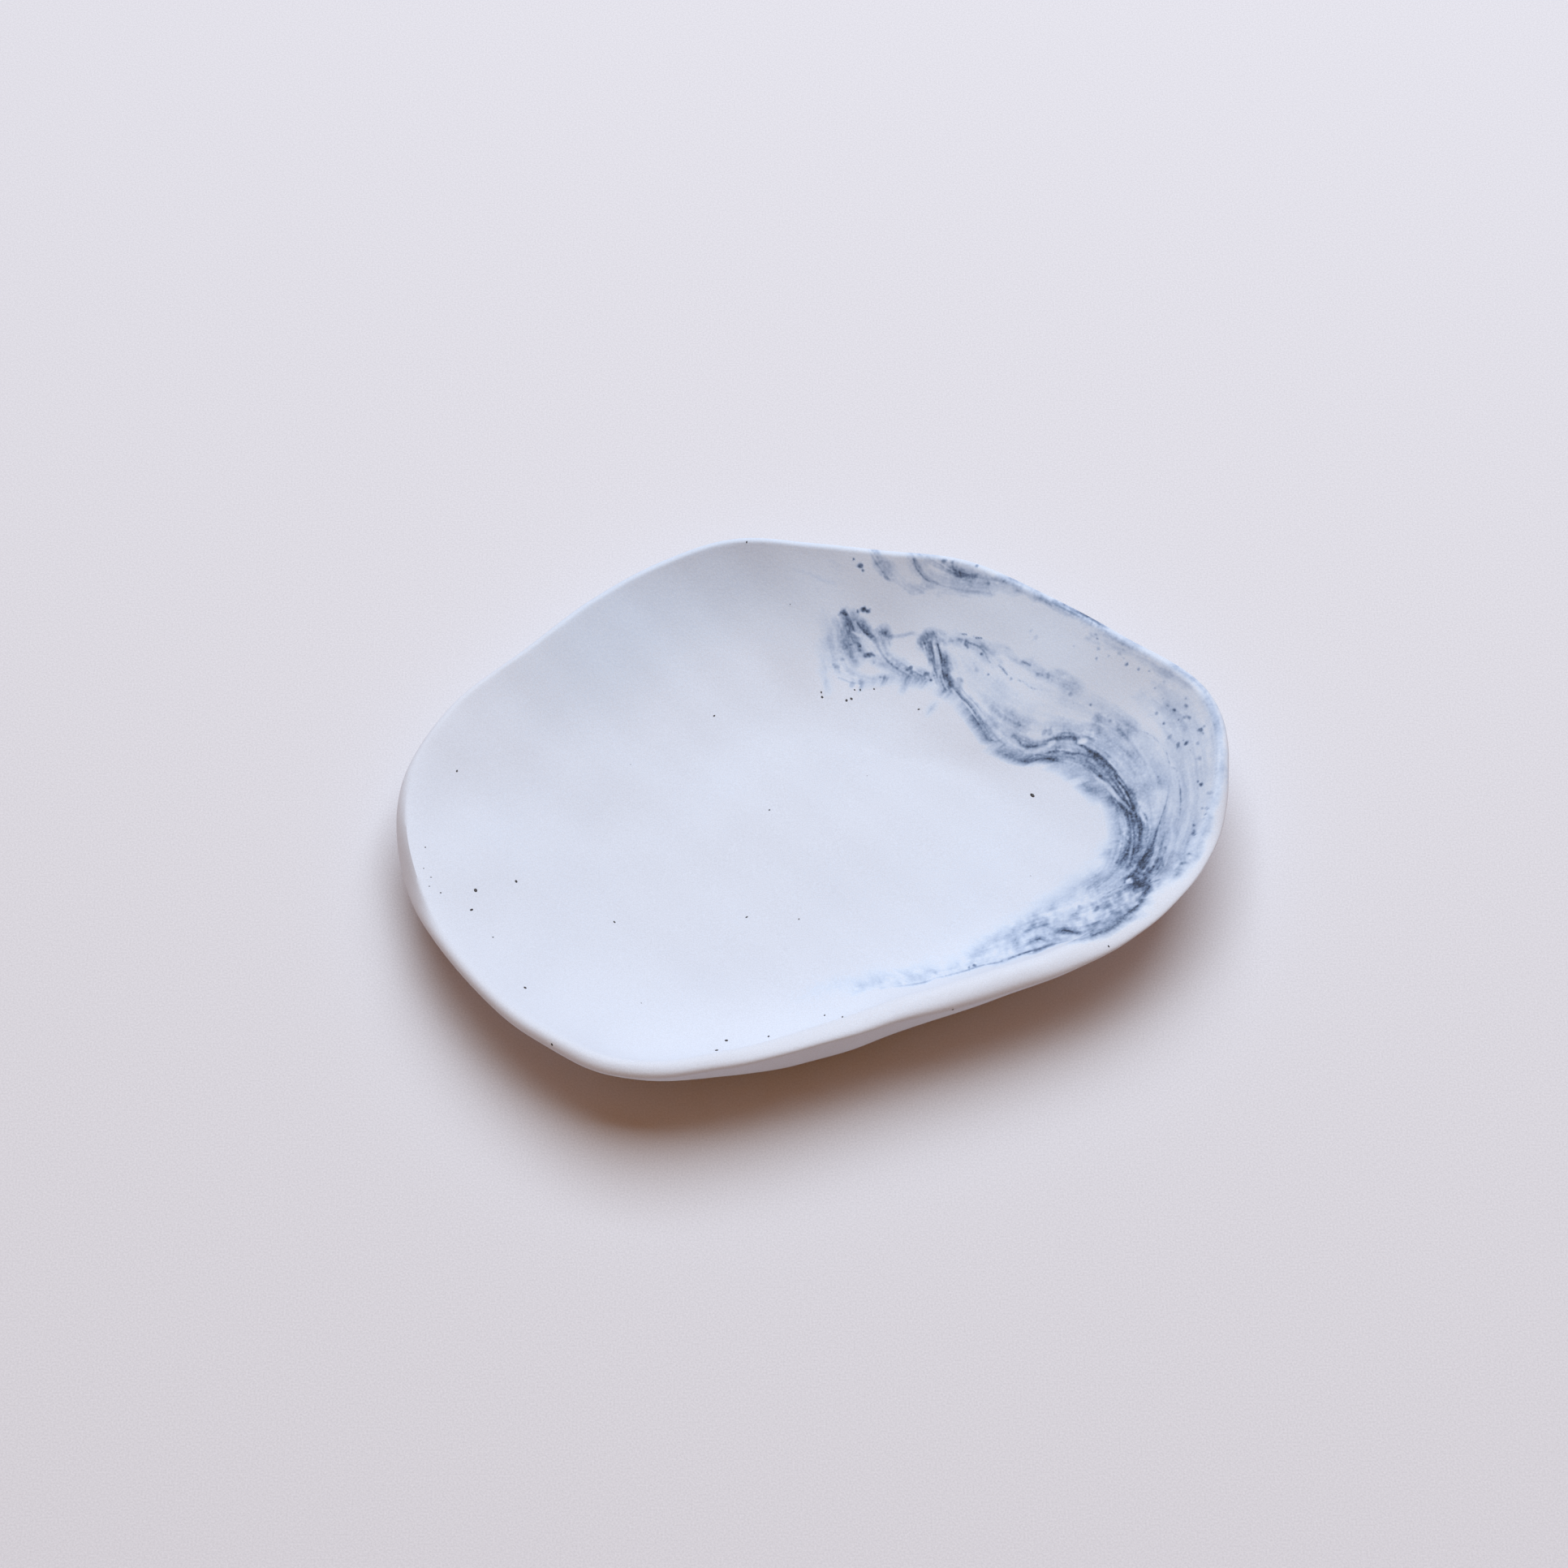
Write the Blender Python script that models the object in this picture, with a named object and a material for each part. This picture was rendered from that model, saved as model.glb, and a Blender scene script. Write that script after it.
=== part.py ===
"""Free-form soap dish: a shallow hand-pinched porcelain bowl, oval and uneven, with a rounded lip,
and a thin sheet of blue-stained clay let into its inner face at the narrow end."""
import math

import bmesh
import bpy
from mathutils import Vector

MM = 0.001

# The rim, one row for every 15 degrees around the dish, counter-clockwise from +X, the narrow end.
# reach is how far the middle of the lip stands from the centre of the plan, height is the crest of
# the rim, lip is how thick its edge is, and lean is the slope of the wall at the rim in degrees from
# level. bend is how long the wall keeps to that slope below the rim, as a share of its own height.
# edge is how flat the lip is: 0 is a half round, and 1 is a level top with soft corners. foot is how
# far the flat that the dish stands on runs from the centre.
#    reach  height  lip  lean  bend  edge  foot
STATIONS = [
    (63.0, 17.0, 3.0, 38.0, 0.5, 0.1, 30.0),
    (64.0, 16.5, 3.0, 31.0, 0.5, 0.0, 27.0),
    (56.5, 15.5, 2.8, 26.0, 0.5, 0.0, 22.0),
    (52.0, 15.0, 2.6, 26.0, 0.5, 0.0, 18.0),
    (49.5, 15.5, 2.0, 32.0, 0.5, 0.0, 17.0),
    (46.0, 16.0, 1.8, 36.0, 0.5, 0.0, 15.0),
    (46.0, 16.0, 1.7, 38.0, 0.4, 0.0, 15.0),
    (48.5, 16.0, 1.6, 40.0, 0.4, 0.0, 17.0),
    (49.0, 15.5, 1.7, 37.0, 0.4, 0.0, 17.0),
    (50.0, 15.0, 1.8, 30.0, 0.5, 0.0, 16.0),
    (52.5, 14.5, 1.9, 26.0, 0.6, 0.0, 15.0),
    (59.0, 14.0, 2.0, 20.0, 0.6, 0.0, 16.0),
    (63.5, 13.5, 2.6, 18.0, 0.6, 0.0, 18.0),
    (63.0, 13.5, 2.8, 20.0, 0.6, 0.0, 21.0),
    (61.0, 14.0, 2.4, 32.0, 0.6, 0.0, 26.0),
    (59.0, 15.0, 2.6, 46.0, 0.6, 0.0, 30.0),
    (56.0, 16.2, 3.0, 64.0, 0.6, 0.2, 31.0),
    (49.5, 17.0, 3.2, 78.0, 0.6, 0.6, 30.0),
    (44.0, 17.5, 3.4, 86.0, 0.6, 0.9, 28.0),
    (41.5, 17.5, 3.8, 84.0, 0.5, 0.7, 27.0),
    (42.5, 17.2, 4.4, 74.0, 0.5, 0.4, 27.0),
    (46.0, 17.0, 4.4, 64.0, 0.5, 0.4, 29.0),
    (52.0, 16.8, 4.0, 54.0, 0.5, 0.8, 31.0),
    (58.0, 17.0, 3.4, 46.0, 0.5, 0.9, 31.0),
]

# At the wide end the rim is pressed down and outwards.
PRESS_ANGLE = 190.0             # the middle of the press, in degrees
PRESS_SPREAD = 15.0             # degrees to each side of it
PRESS_WIDTH = 2.2 * MM          # how far in from the outer edge it starts
PRESS_DROP = 2.8 * MM           # how much the outer edge is lowered
PRESS_SOFT = 0.3                # the share of the width over which the bend is eased
FLAT_ROUND = 0.3                # how far a flat lip still bulges, as a share of a half round's bulge

FLOOR_THICKNESS = 4.0 * MM      # clay between the table and the soap
ROUNDNESS = 0.75                # how evenly the wall curves up from the foot

INLAY_THICKNESS = 0.8 * MM      # the blue sheet
FIT_GAP = 0.3 * MM              # clearance all round the blue sheet
INLAY_RIM_INSET = 0.9 * MM      # the sheet's upper edge, inwards from the middle of the lip in plan
CUT_HEADROOM = 3.0 * MM         # how far the pocket cutter stands out of the clay

# The inner edge of the blue sheet: angle in degrees, and millimetres from the centre of the plan.
INLAY_EDGE = [
    (-62.0, 34.0),
    (-46.0, 34.5),
    (-32.0, 36.0),
    (-18.0, 43.0),
    (-7.0, 49.0),
    (4.0, 48.0),
    (12.0, 44.0),
    (19.0, 37.0),
    (28.0, 32.5),
    (45.0, 33.0),
    (59.0, 31.5),
    (69.0, 28.5),
    (78.0, 25.0),
    (86.0, 25.5),
    (92.0, 30.0),
]

SECTORS = 96
WALL_RINGS = 9
LIP_RINGS = 8
SHEET_STEPS = 60
SHEET_BANDS = 8


def clear_scene():
    for item in list(bpy.data.objects):
        bpy.data.objects.remove(item, do_unlink=True)


def blend(a, b, c, d, t):
    """Catmull-Rom curve from b to c."""
    return b + 0.5 * t * (c - a + t * (2 * a - 5 * b + 4 * c - d + t * (3 * (b - c) + d - a)))


def station(angle):
    """Reach, height, lip and foot in metres, lean in radians, bend and edge, at an angle in radians."""
    step = 2 * math.pi / len(STATIONS)
    place = (angle / step) % len(STATIONS)
    first = int(place)
    rows = [STATIONS[(first + k) % len(STATIONS)] for k in (-1, 0, 1, 2)]
    reach, height, lip, lean, bend, edge, foot = (blend(*c, place - first) for c in zip(*rows))
    return reach * MM, height * MM, lip * MM, math.radians(lean), bend, edge, foot * MM


def middle(angle, share):
    """The middle of the clay, as plan radius and height, with its direction towards the soap and its
    thickness. share runs from -1 at the centre to 0 at the foot edge and 1 at the rim."""
    reach, height, lip, lean, bend, edge, foot = station(angle)
    base = FLOOR_THICKNESS / 2
    if share <= 0:
        return foot * (1 + share), base, 0.0, 1.0, FLOOR_THICKNESS
    top = height - lip / 2
    corner = reach - (top - base) / math.tan(lean)
    pull = bend * (top - base) / math.sin(lean)
    line = [
        (foot, base),
        (foot + ROUNDNESS * (corner - foot), base),
        (reach - pull * math.cos(lean), top - pull * math.sin(lean)),
        (reach, top),
    ]
    rest = 1 - share
    place = (rest ** 3, 3 * rest * rest * share, 3 * rest * share * share, share ** 3)
    radius = sum(w * p[0] for w, p in zip(place, line))
    z = sum(w * p[1] for w, p in zip(place, line))
    slope = (rest * rest, 2 * rest * share, share * share)
    run = sum(w * (q[0] - p[0]) for w, p, q in zip(slope, line, line[1:]))
    rise = sum(w * (q[1] - p[1]) for w, p, q in zip(slope, line, line[1:]))
    length = math.hypot(run, rise)
    thick = FLOOR_THICKNESS + (lip - FLOOR_THICKNESS) * share * share * (3 - 2 * share)
    return radius, z, -rise / length, run / length, thick


def drop(angle, radius):
    """How far the press at the wide end lowers the clay."""
    aside = (math.degrees(angle) - PRESS_ANGLE + 180.0) % 360.0 - 180.0
    if abs(aside) >= PRESS_SPREAD:
        return 0.0
    near = 0.5 + 0.5 * math.cos(math.pi * aside / PRESS_SPREAD)
    reach, height, lip, lean, bend, edge, foot = station(angle)
    part = max(0.0, (radius - (reach + lip / 2 - PRESS_WIDTH)) / PRESS_WIDTH)
    eased = part * part / (2 * PRESS_SOFT) if part < PRESS_SOFT else part - PRESS_SOFT / 2
    return near * PRESS_DROP * eased / (1 - PRESS_SOFT / 2)


def at(angle, radius, z):
    return Vector((radius * math.cos(angle), radius * math.sin(angle), z - drop(angle, radius)))


def off_middle(angle, share, depth):
    """A point of the clay, depth below its inner face."""
    radius, z, inward, upward, thick = middle(angle, share)
    move = thick / 2 - depth
    return at(angle, radius + inward * move, z + upward * move)


def section(angle):
    """The outline of the clay at one angle: foot edge, outer wall, lip, inner wall, floor edge."""
    shares = [k / WALL_RINGS for k in range(WALL_RINGS + 1)]
    points = [off_middle(angle, share, middle(angle, share)[4]) for share in shares]
    radius, z, inward, upward, thick = middle(angle, 1.0)
    edge = max(0.0, station(angle)[5])
    power = 2 / (2 + edge)
    bulge = 1 - (1 - FLAT_ROUND) * edge
    level = -edge * upward / inward
    for k in range(1, LIP_RINGS):
        turn = math.pi * k / LIP_RINGS
        side = 1 if 2 * k > LIP_RINGS else -1
        share = side * abs(math.cos(turn)) ** power
        across = 0.5 * thick * share
        along = 0.5 * thick * (bulge * math.sin(turn) ** power + level * (1 - share))
        points.append(at(angle, radius + inward * across + upward * along,
                         z + upward * across - inward * along))
    points += [off_middle(angle, share, 0.0) for share in reversed(shares)]
    return points


def mesh_object(name, verts, faces):
    mesh = bpy.data.meshes.new(name)
    mesh.from_pydata([tuple(v) for v in verts], [], faces)
    shape = bmesh.new()
    shape.from_mesh(mesh)
    bmesh.ops.recalc_face_normals(shape, faces=shape.faces)
    shape.to_mesh(mesh)
    shape.free()
    made = bpy.data.objects.new(name, mesh)
    bpy.context.scene.collection.objects.link(made)
    return made


def dish_shell(name):
    """Sections joined all the way round, closed by the flat foot below and the flat floor above."""
    columns = [section(2 * math.pi * k / SECTORS) for k in range(SECTORS)]
    rings = len(columns[0])
    verts = [columns[k][ring] for ring in range(rings) for k in range(SECTORS)]
    faces = []
    for ring in range(rings - 1):
        for k in range(SECTORS):
            beside = (k + 1) % SECTORS
            below, above = ring * SECTORS, (ring + 1) * SECTORS
            faces.append((below + k, below + beside, above + beside, above + k))
    faces.append(tuple(range(SECTORS - 1, -1, -1)))
    faces.append(tuple((rings - 1) * SECTORS + k for k in range(SECTORS)))
    return mesh_object(name, verts, faces)


def share_at(angle, radius):
    """Where along the section the middle of the clay is this far from the centre of the plan."""
    low, high = -1.0, 1.0
    for _ in range(30):
        half = 0.5 * (low + high)
        if middle(angle, half)[0] < radius:
            low = half
        else:
            high = half
    return high


def sheet_edge(degrees):
    """The distance of the sheet's inner edge from the centre of the plan."""
    rows = [INLAY_EDGE[0]] + INLAY_EDGE + [INLAY_EDGE[-1]]
    k = 1
    while k < len(rows) - 3 and degrees > rows[k + 1][0]:
        k += 1
    part = (degrees - rows[k][0]) / (rows[k + 1][0] - rows[k][0])
    return blend(*(rows[k + j][1] for j in (-1, 0, 1, 2)), part) * MM


def sheet(name, grow, under, over):
    """A closed sheet that follows the inner face: grow widens it, under and over are its faces."""
    first, last = INLAY_EDGE[0][0], INLAY_EDGE[-1][0]
    lower, upper = [], []
    for i in range(SHEET_STEPS + 1):
        degrees = first + (last - first) * i / SHEET_STEPS
        angle = math.radians(degrees)
        near = sheet_edge(degrees) - grow
        far = station(angle)[0] - INLAY_RIM_INSET + grow
        if i == 0:
            angle -= grow / near
        if i == SHEET_STEPS:
            angle += grow / near
        for j in range(SHEET_BANDS + 1):
            share = share_at(angle, near + (far - near) * j / SHEET_BANDS)
            lower.append(off_middle(angle, share, under))
            upper.append(off_middle(angle, share, -over))
    wide = SHEET_BANDS + 1
    count = len(lower)
    faces = []
    for i in range(SHEET_STEPS):
        for j in range(SHEET_BANDS):
            a = i * wide + j
            faces.append((a, a + 1, a + wide + 1, a + wide))
            faces.append((count + a, count + a + wide, count + a + wide + 1, count + a + 1))
    for i in range(SHEET_STEPS):
        for j in (0, SHEET_BANDS):
            a = i * wide + j
            faces.append((a, a + wide, count + a + wide, count + a))
    for i in (0, SHEET_STEPS):
        for j in range(SHEET_BANDS):
            a = i * wide + j
            faces.append((a, a + 1, count + a + 1, count + a))
    return mesh_object(name, lower + upper, faces)


def material(name, colour, roughness):
    made = bpy.data.materials.new(name)
    made.use_nodes = True
    shader = made.node_tree.nodes["Principled BSDF"]
    shader.inputs["Base Color"].default_value = (*colour, 1.0)
    shader.inputs["Roughness"].default_value = roughness
    shader.inputs["Metallic"].default_value = 0.0
    return made


def cut(target, cutter):
    change = target.modifiers.new("pocket", "BOOLEAN")
    change.operation = "DIFFERENCE"
    change.solver = "EXACT"
    change.object = cutter
    cutter.hide_render = True
    cutter.display_type = "WIRE"
    bpy.context.view_layer.update()
    graph = bpy.context.evaluated_depsgraph_get()
    result = bpy.data.meshes.new_from_object(target.evaluated_get(graph))
    target.modifiers.clear()
    target.data = result
    bpy.data.objects.remove(cutter, do_unlink=True)


def centre_on_origin(items):
    """Puts the middle of the dish's plan over the origin."""
    spots = [v.co for v in items[0].data.vertices]
    shift_x = -0.5 * (min(v.x for v in spots) + max(v.x for v in spots))
    shift_y = -0.5 * (min(v.y for v in spots) + max(v.y for v in spots))
    for item in items:
        for vert in item.data.vertices:
            vert.co.x += shift_x
            vert.co.y += shift_y


clear_scene()
body = dish_shell("porcelain_body")
pocket = sheet("pocket", FIT_GAP, INLAY_THICKNESS + FIT_GAP, CUT_HEADROOM)
cut(body, pocket)
inlay = sheet("marbled_inlay", 0.0, INLAY_THICKNESS, 0.0)
centre_on_origin([body, inlay])

body.data.materials.clear()
body.data.materials.append(material("white_porcelain", (0.78, 0.79, 0.83), 0.55))
inlay.data.materials.append(material("stained_porcelain", (0.42, 0.52, 0.66), 0.55))
for item in (body, inlay):
    for face in item.data.polygons:
        face.use_smooth = True
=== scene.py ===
# %% [markdown]
# # A soap dish of hand-pinched porcelain
# The real object is one shallow bowl of matt white porcelain, pinched into an uneven oval. At its narrow end
# blue-stained clay was folded into the white, and a few specks of iron burned black in the kiln.
#
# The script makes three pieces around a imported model, which gives the sizes and the frame: the white body,
# the marbled face that is let into it, and the specks. The frame comes first, because every piece follows it.

# %% Load the frame
import math

import bmesh
import bpy
import numpy as np
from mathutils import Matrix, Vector
from mathutils.bvhtree import BVHTree


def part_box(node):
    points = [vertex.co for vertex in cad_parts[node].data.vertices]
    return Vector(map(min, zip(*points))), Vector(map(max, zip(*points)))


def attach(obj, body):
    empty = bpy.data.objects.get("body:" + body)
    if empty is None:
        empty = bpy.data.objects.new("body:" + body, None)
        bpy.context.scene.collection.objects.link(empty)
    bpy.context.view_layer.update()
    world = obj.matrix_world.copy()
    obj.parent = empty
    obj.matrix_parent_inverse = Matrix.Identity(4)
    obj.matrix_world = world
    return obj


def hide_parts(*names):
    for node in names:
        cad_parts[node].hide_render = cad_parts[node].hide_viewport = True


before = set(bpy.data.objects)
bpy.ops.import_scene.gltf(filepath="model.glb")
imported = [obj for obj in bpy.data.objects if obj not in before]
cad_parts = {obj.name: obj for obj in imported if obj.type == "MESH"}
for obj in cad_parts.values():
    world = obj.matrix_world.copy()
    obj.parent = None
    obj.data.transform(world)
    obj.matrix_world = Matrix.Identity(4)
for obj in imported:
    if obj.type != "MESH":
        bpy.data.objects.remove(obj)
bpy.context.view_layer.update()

MM = 0.001
body_low, body_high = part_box("porcelain_body")
print("frame nodes:", sorted(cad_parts))
print("dish, mm:", [round((high - low) / MM, 1) for low, high in zip(body_low, body_high)])

# %% [markdown]
# ## The camera
# The photograph was taken from the dish's long side, looking steeply down. The camera could be placed by eye,
# but the marbling is placed by pixels of the photograph, so the camera comes before the clay, with its place
# worked out from an angle, a distance and the point that it looks at. A function then gives the pixel of the
# photograph in which any point of the clay is seen.

# %% Place the camera
PHOTO_SIDE = 1932                      # pixels along each side of the photograph
LENS = 75.0                            # mm
SENSOR = 36.0                          # mm
CAMERA_RISE = math.radians(58)         # above level
CAMERA_DISTANCE = 517 * MM
AIM = np.array([-4.55, 6.56, 8.0]) * MM
NEAREST_SEEN = 10 * MM

sight = np.array([0, math.cos(CAMERA_RISE), -math.sin(CAMERA_RISE)])
picture_up = np.array([0, math.sin(CAMERA_RISE), math.cos(CAMERA_RISE)])
eye = AIM - CAMERA_DISTANCE * sight

camera_data = bpy.data.cameras.new("camera")
camera_data.lens = LENS
camera_data.sensor_width = SENSOR
camera_data.clip_start = NEAREST_SEEN
camera = bpy.data.objects.new("camera", camera_data)
camera.location = eye
camera.rotation_euler = (math.radians(90) - CAMERA_RISE, 0, 0)
bpy.context.scene.collection.objects.link(camera)
bpy.context.scene.camera = camera


def photo_pixel(points):
    """Column and row of the photograph at which each point, in metres, is seen."""
    reach = points - eye
    depth = reach @ sight
    scale = PHOTO_SIDE * LENS / SENSOR / depth
    return PHOTO_SIDE / 2 + scale * reach[..., 0], PHOTO_SIDE / 2 - scale * (reach @ picture_up)


print("the middle of the foot is at pixel", [round(float(v)) for v in photo_pixel(np.zeros(3))])

# %% [markdown]
# ## The form of the clay
# A pinched bowl has no axis and no single profile, so it can't be turned on a lathe. It could be sculpted
# from a subdivided block, but then nothing ties it to its sizes. Here it is described by the middle of its
# wall. A table says, for every 15 degrees round the dish, how far the rim reaches, how high it stands, how
# thick its lip is and how steeply the wall meets it. One smooth curve joins the foot to the rim, and half the
# thickness is laid off to each side of it.

# %% The rim, every 15 degrees from the narrow end
FLOOR_THICKNESS = 4.0
ROUNDNESS = 0.75         # how far the wall's curve pulls towards the corner that it rounds
NARROW_END, WIDE_END = 0, 12               # rows of the table below

# Reach, height and thickness of the lip in mm, the slope of the wall there in degrees, how long it keeps to
# that slope as a share of its height, how flat the lip is (0 is a half round, 1 has a level top), and how far
# the flat foot runs from the centre.
RIM = np.array([
    (63.0, 17.0, 3.0, 38, 0.5, 0.1, 30),
    (64.0, 16.5, 3.0, 31, 0.5, 0.0, 27),
    (56.5, 15.5, 2.8, 26, 0.5, 0.0, 22),
    (52.0, 15.0, 2.6, 26, 0.5, 0.0, 18),
    (49.5, 15.5, 2.0, 32, 0.5, 0.0, 17),
    (46.0, 16.0, 1.8, 36, 0.5, 0.0, 15),
    (46.0, 16.0, 1.7, 38, 0.4, 0.0, 15),
    (48.5, 16.0, 1.6, 40, 0.4, 0.0, 17),
    (49.0, 15.5, 1.7, 37, 0.4, 0.0, 17),
    (50.0, 15.0, 1.8, 30, 0.5, 0.0, 16),
    (52.5, 14.5, 1.9, 26, 0.6, 0.0, 15),
    (59.0, 14.0, 2.0, 20, 0.6, 0.0, 16),
    (63.5, 13.5, 2.6, 18, 0.6, 0.0, 18),
    (63.0, 13.5, 2.8, 20, 0.6, 0.0, 21),
    (61.0, 14.0, 2.4, 32, 0.6, 0.0, 26),
    (59.0, 15.0, 2.6, 46, 0.6, 0.0, 30),
    (56.0, 16.2, 3.0, 64, 0.6, 0.2, 31),
    (49.5, 17.0, 3.2, 78, 0.6, 0.6, 30),
    (44.0, 17.5, 3.4, 86, 0.6, 0.9, 28),
    (41.5, 17.5, 3.8, 84, 0.5, 0.7, 27),
    (42.5, 17.2, 4.4, 74, 0.5, 0.4, 27),
    (46.0, 17.0, 4.4, 64, 0.5, 0.4, 29),
    (52.0, 16.8, 4.0, 54, 0.5, 0.8, 31),
    (58.0, 17.0, 3.4, 46, 0.5, 0.9, 31)])


def round_table(table, degrees):
    """Catmull-Rom curve through a table whose rows stand evenly all the way round."""
    place = degrees / (360 / len(table)) % len(table)
    first = np.floor(place).astype(int)
    t = (place - first).reshape(-1, *[1] * (table.ndim - 1))
    a, b, c, d = (table[(first + k) % len(table)] for k in (-1, 0, 1, 2))
    return b + 0.5 * t * (c - a + t * (2 * a - 5 * b + 4 * c - d + t * (3 * (b - c) + d - a)))


print("rim reach at the narrow end and the wide end, mm:", RIM[NARROW_END, 0], RIM[WIDE_END, 0])


# %% The middle of the wall
def wall_middle(degrees, share):
    """Plan radius and height of the middle of the clay in mm, its direction towards the soap, and its
    thickness. share runs from -1 at the centre of the dish to 0 at the foot's edge and 1 at the rim."""
    degrees, share = np.broadcast_arrays(np.asarray(degrees, float), share)
    shape = degrees.shape
    reach, height, lip, lean, bend, edge, foot = round_table(RIM, degrees.ravel()).T.reshape(7, *shape)
    lean = np.radians(lean)
    base, top = FLOOR_THICKNESS / 2, height - lip / 2
    corner = reach - (top - base) / np.tan(lean)
    pull = bend * (top - base) / np.sin(lean)
    r1, r2 = foot + ROUNDNESS * (corner - foot), reach - pull * np.cos(lean)
    z2 = top - pull * np.sin(lean)
    s = np.clip(share, 0, 1)
    rest = 1 - s
    radius = rest ** 3 * foot + 3 * rest ** 2 * s * r1 + 3 * rest * s ** 2 * r2 + s ** 3 * reach
    z = (rest ** 3 + 3 * rest ** 2 * s) * base + 3 * rest * s ** 2 * z2 + s ** 3 * top
    run = rest ** 2 * (r1 - foot) + 2 * rest * s * (r2 - r1) + s ** 2 * (reach - r2)
    rise = 2 * rest * s * (z2 - base) + s ** 2 * (top - z2)
    length = np.hypot(run, rise)
    flat = share < 0
    radius = np.where(flat, foot * (1 + np.minimum(share, 0)), radius)
    inward, upward = np.where(flat, 0, -rise / length), np.where(flat, 1, run / length)
    thick = FLOOR_THICKNESS + (lip - FLOOR_THICKNESS) * s * s * (3 - 2 * s)
    return radius, z, inward, upward, thick


# %% [markdown]
# ### The thumb mark
# At the wide end the rim was pressed down and outwards, and a soft shaded band shows there. The press lowers
# both faces of the rim together. It grows from a couple of millimetres inside the rim to its outer edge, and
# fades away to both sides.

# %% The press at the wide end
PRESS_ANGLE, PRESS_SPREAD = 190.0, 15.0    # degrees
PRESS_WIDTH, PRESS_DROP = 2.2, 2.8         # mm
PRESS_SOFT = 0.3     # share of the press's width over which it sets in
FLAT_ROUND = 0.3     # how far a flat lip still bulges, as a share of a half round's bulge


def press_drop(degrees, radius):
    """How far the press lowers the clay, in mm."""
    degrees, radius = np.broadcast_arrays(np.asarray(degrees, float), radius)
    reach, height, lip = round_table(RIM, degrees.ravel()).T[:3].reshape(3, *degrees.shape)
    aside = np.clip(((degrees - PRESS_ANGLE + 180) % 360 - 180) / PRESS_SPREAD, -1, 1)
    part = np.maximum((radius - (reach + lip / 2 - PRESS_WIDTH)) / PRESS_WIDTH, 0)
    eased = np.where(part < PRESS_SOFT, part ** 2 / (2 * PRESS_SOFT), part - PRESS_SOFT / 2)
    return (0.5 + 0.5 * np.cos(math.pi * aside)) * PRESS_DROP * eased / (1 - PRESS_SOFT / 2)


wide_edge = RIM[WIDE_END, 0] + RIM[WIDE_END, 2] / 2
print("the press lowers the edge at the wide end by", press_drop(PRESS_ANGLE, wide_edge).round(2), "mm")

# %% [markdown]
# ### The marks of fingers
# Pinched clay is never true. Long shallow waves run through the real wall, a finger's width or two apart, and
# they show as soft changes of light. The wave moves both faces together, so the wall keeps its thickness. It
# is a sum of a few sine waves with set directions, which is smooth everywhere and the same on each run. The
# foot stays flat, because it stands on the table.

# %% Waves in the wall, in mm
WAVES = [                # height, length, direction in degrees, start
    (0.10, 31.0, 20, 0.4), (0.08, 23.0, 75, 2.1), (0.07, 17.0, 130, 4.4), (0.05, 12.0, 165, 1.3),
    (0.03, 8.5, 48, 5.2)]


def soft_step(low, high, value):
    """0 below low, 1 above high, and a smooth ramp between."""
    t = np.clip((value - low) / (high - low), 0, 1)
    return t * t * (3 - 2 * t)


def finger_wave(x, y):
    """Height of the waves at places in mm from the centre."""
    total = np.zeros(np.shape(x))
    for height, length, direction, start in WAVES:
        turn = math.radians(direction)
        total += height * np.sin(2 * math.pi * (x * math.cos(turn) + y * math.sin(turn)) / length + start)
    return total


def clay_point(degrees, share, side, arc=None):
    """A point of the clay in mm: side 1 is the inner face, -1 the outer face, and values between lie inside.
    With arc, 0 to 1, it lies on the rounded lip instead, from the outer face over the crest to the inner."""
    radius, z, inward, upward, thick = wall_middle(degrees, share)
    turn = np.radians(degrees)
    wave = finger_wave(radius * np.cos(turn), radius * np.sin(turn))
    wave = wave * np.where(np.asarray(side) < 0, soft_step(0, 0.4, share), 1)
    if arc is None:
        across, along = side * thick / 2 + wave, 0
    else:
        flatness = round_table(RIM, np.ravel(degrees))[:, 5].reshape(np.shape(degrees))
        edge = np.maximum(flatness, 0)
        power, cosine = 2 / (2 + edge), np.cos(math.pi * arc)
        place = -np.sign(cosine) * np.abs(cosine) ** power
        bulge = (1 - (1 - FLAT_ROUND) * edge) * np.clip(np.sin(math.pi * arc), 0, 1) ** power
        across = wave + thick / 2 * place
        along = thick / 2 * (bulge - edge * upward / inward * (1 - place))
    r = radius + inward * across + upward * along
    height = z + upward * across - inward * along - press_drop(degrees, r)
    return np.stack([r * np.cos(turn), r * np.sin(turn), height], -1)


print("lip crest at the narrow end, mm:", clay_point(0.0, 1.0, 1, arc=0.5).round(2))

# %% [markdown]
# ## The marbling
# Blue-stained clay was folded into the white while both were soft, so the stain lies in long combed streaks
# that bend round each other, with a hard edge where the white tongue of the floor slid over them. It could
# be made from noise alone, but then no streak would lie where the real one does. So each main streak is a
# stroke, a short line through pixels of the photograph, with a width and a darkness along it.
# Every stroke also says which way the clay flowed there. Noise that is smeared along that flow gives the
# fine fibres. All of it is worked out on one flat sheet, one sample a pixel, and then read by each point of
# the clay at the place where the camera sees that point.

# %% The sheet that the marbling is worked out on
SHEET_LEFT, SHEET_TOP = 930, 650
SHEET_WIDTH, SHEET_HEIGHT = 600, 600
sheet_x, sheet_y = np.meshgrid(
    SHEET_LEFT + np.arange(SHEET_WIDTH, dtype=float), SHEET_TOP + np.arange(SHEET_HEIGHT, dtype=float))
print("marbling sheet", sheet_x.shape)


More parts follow.
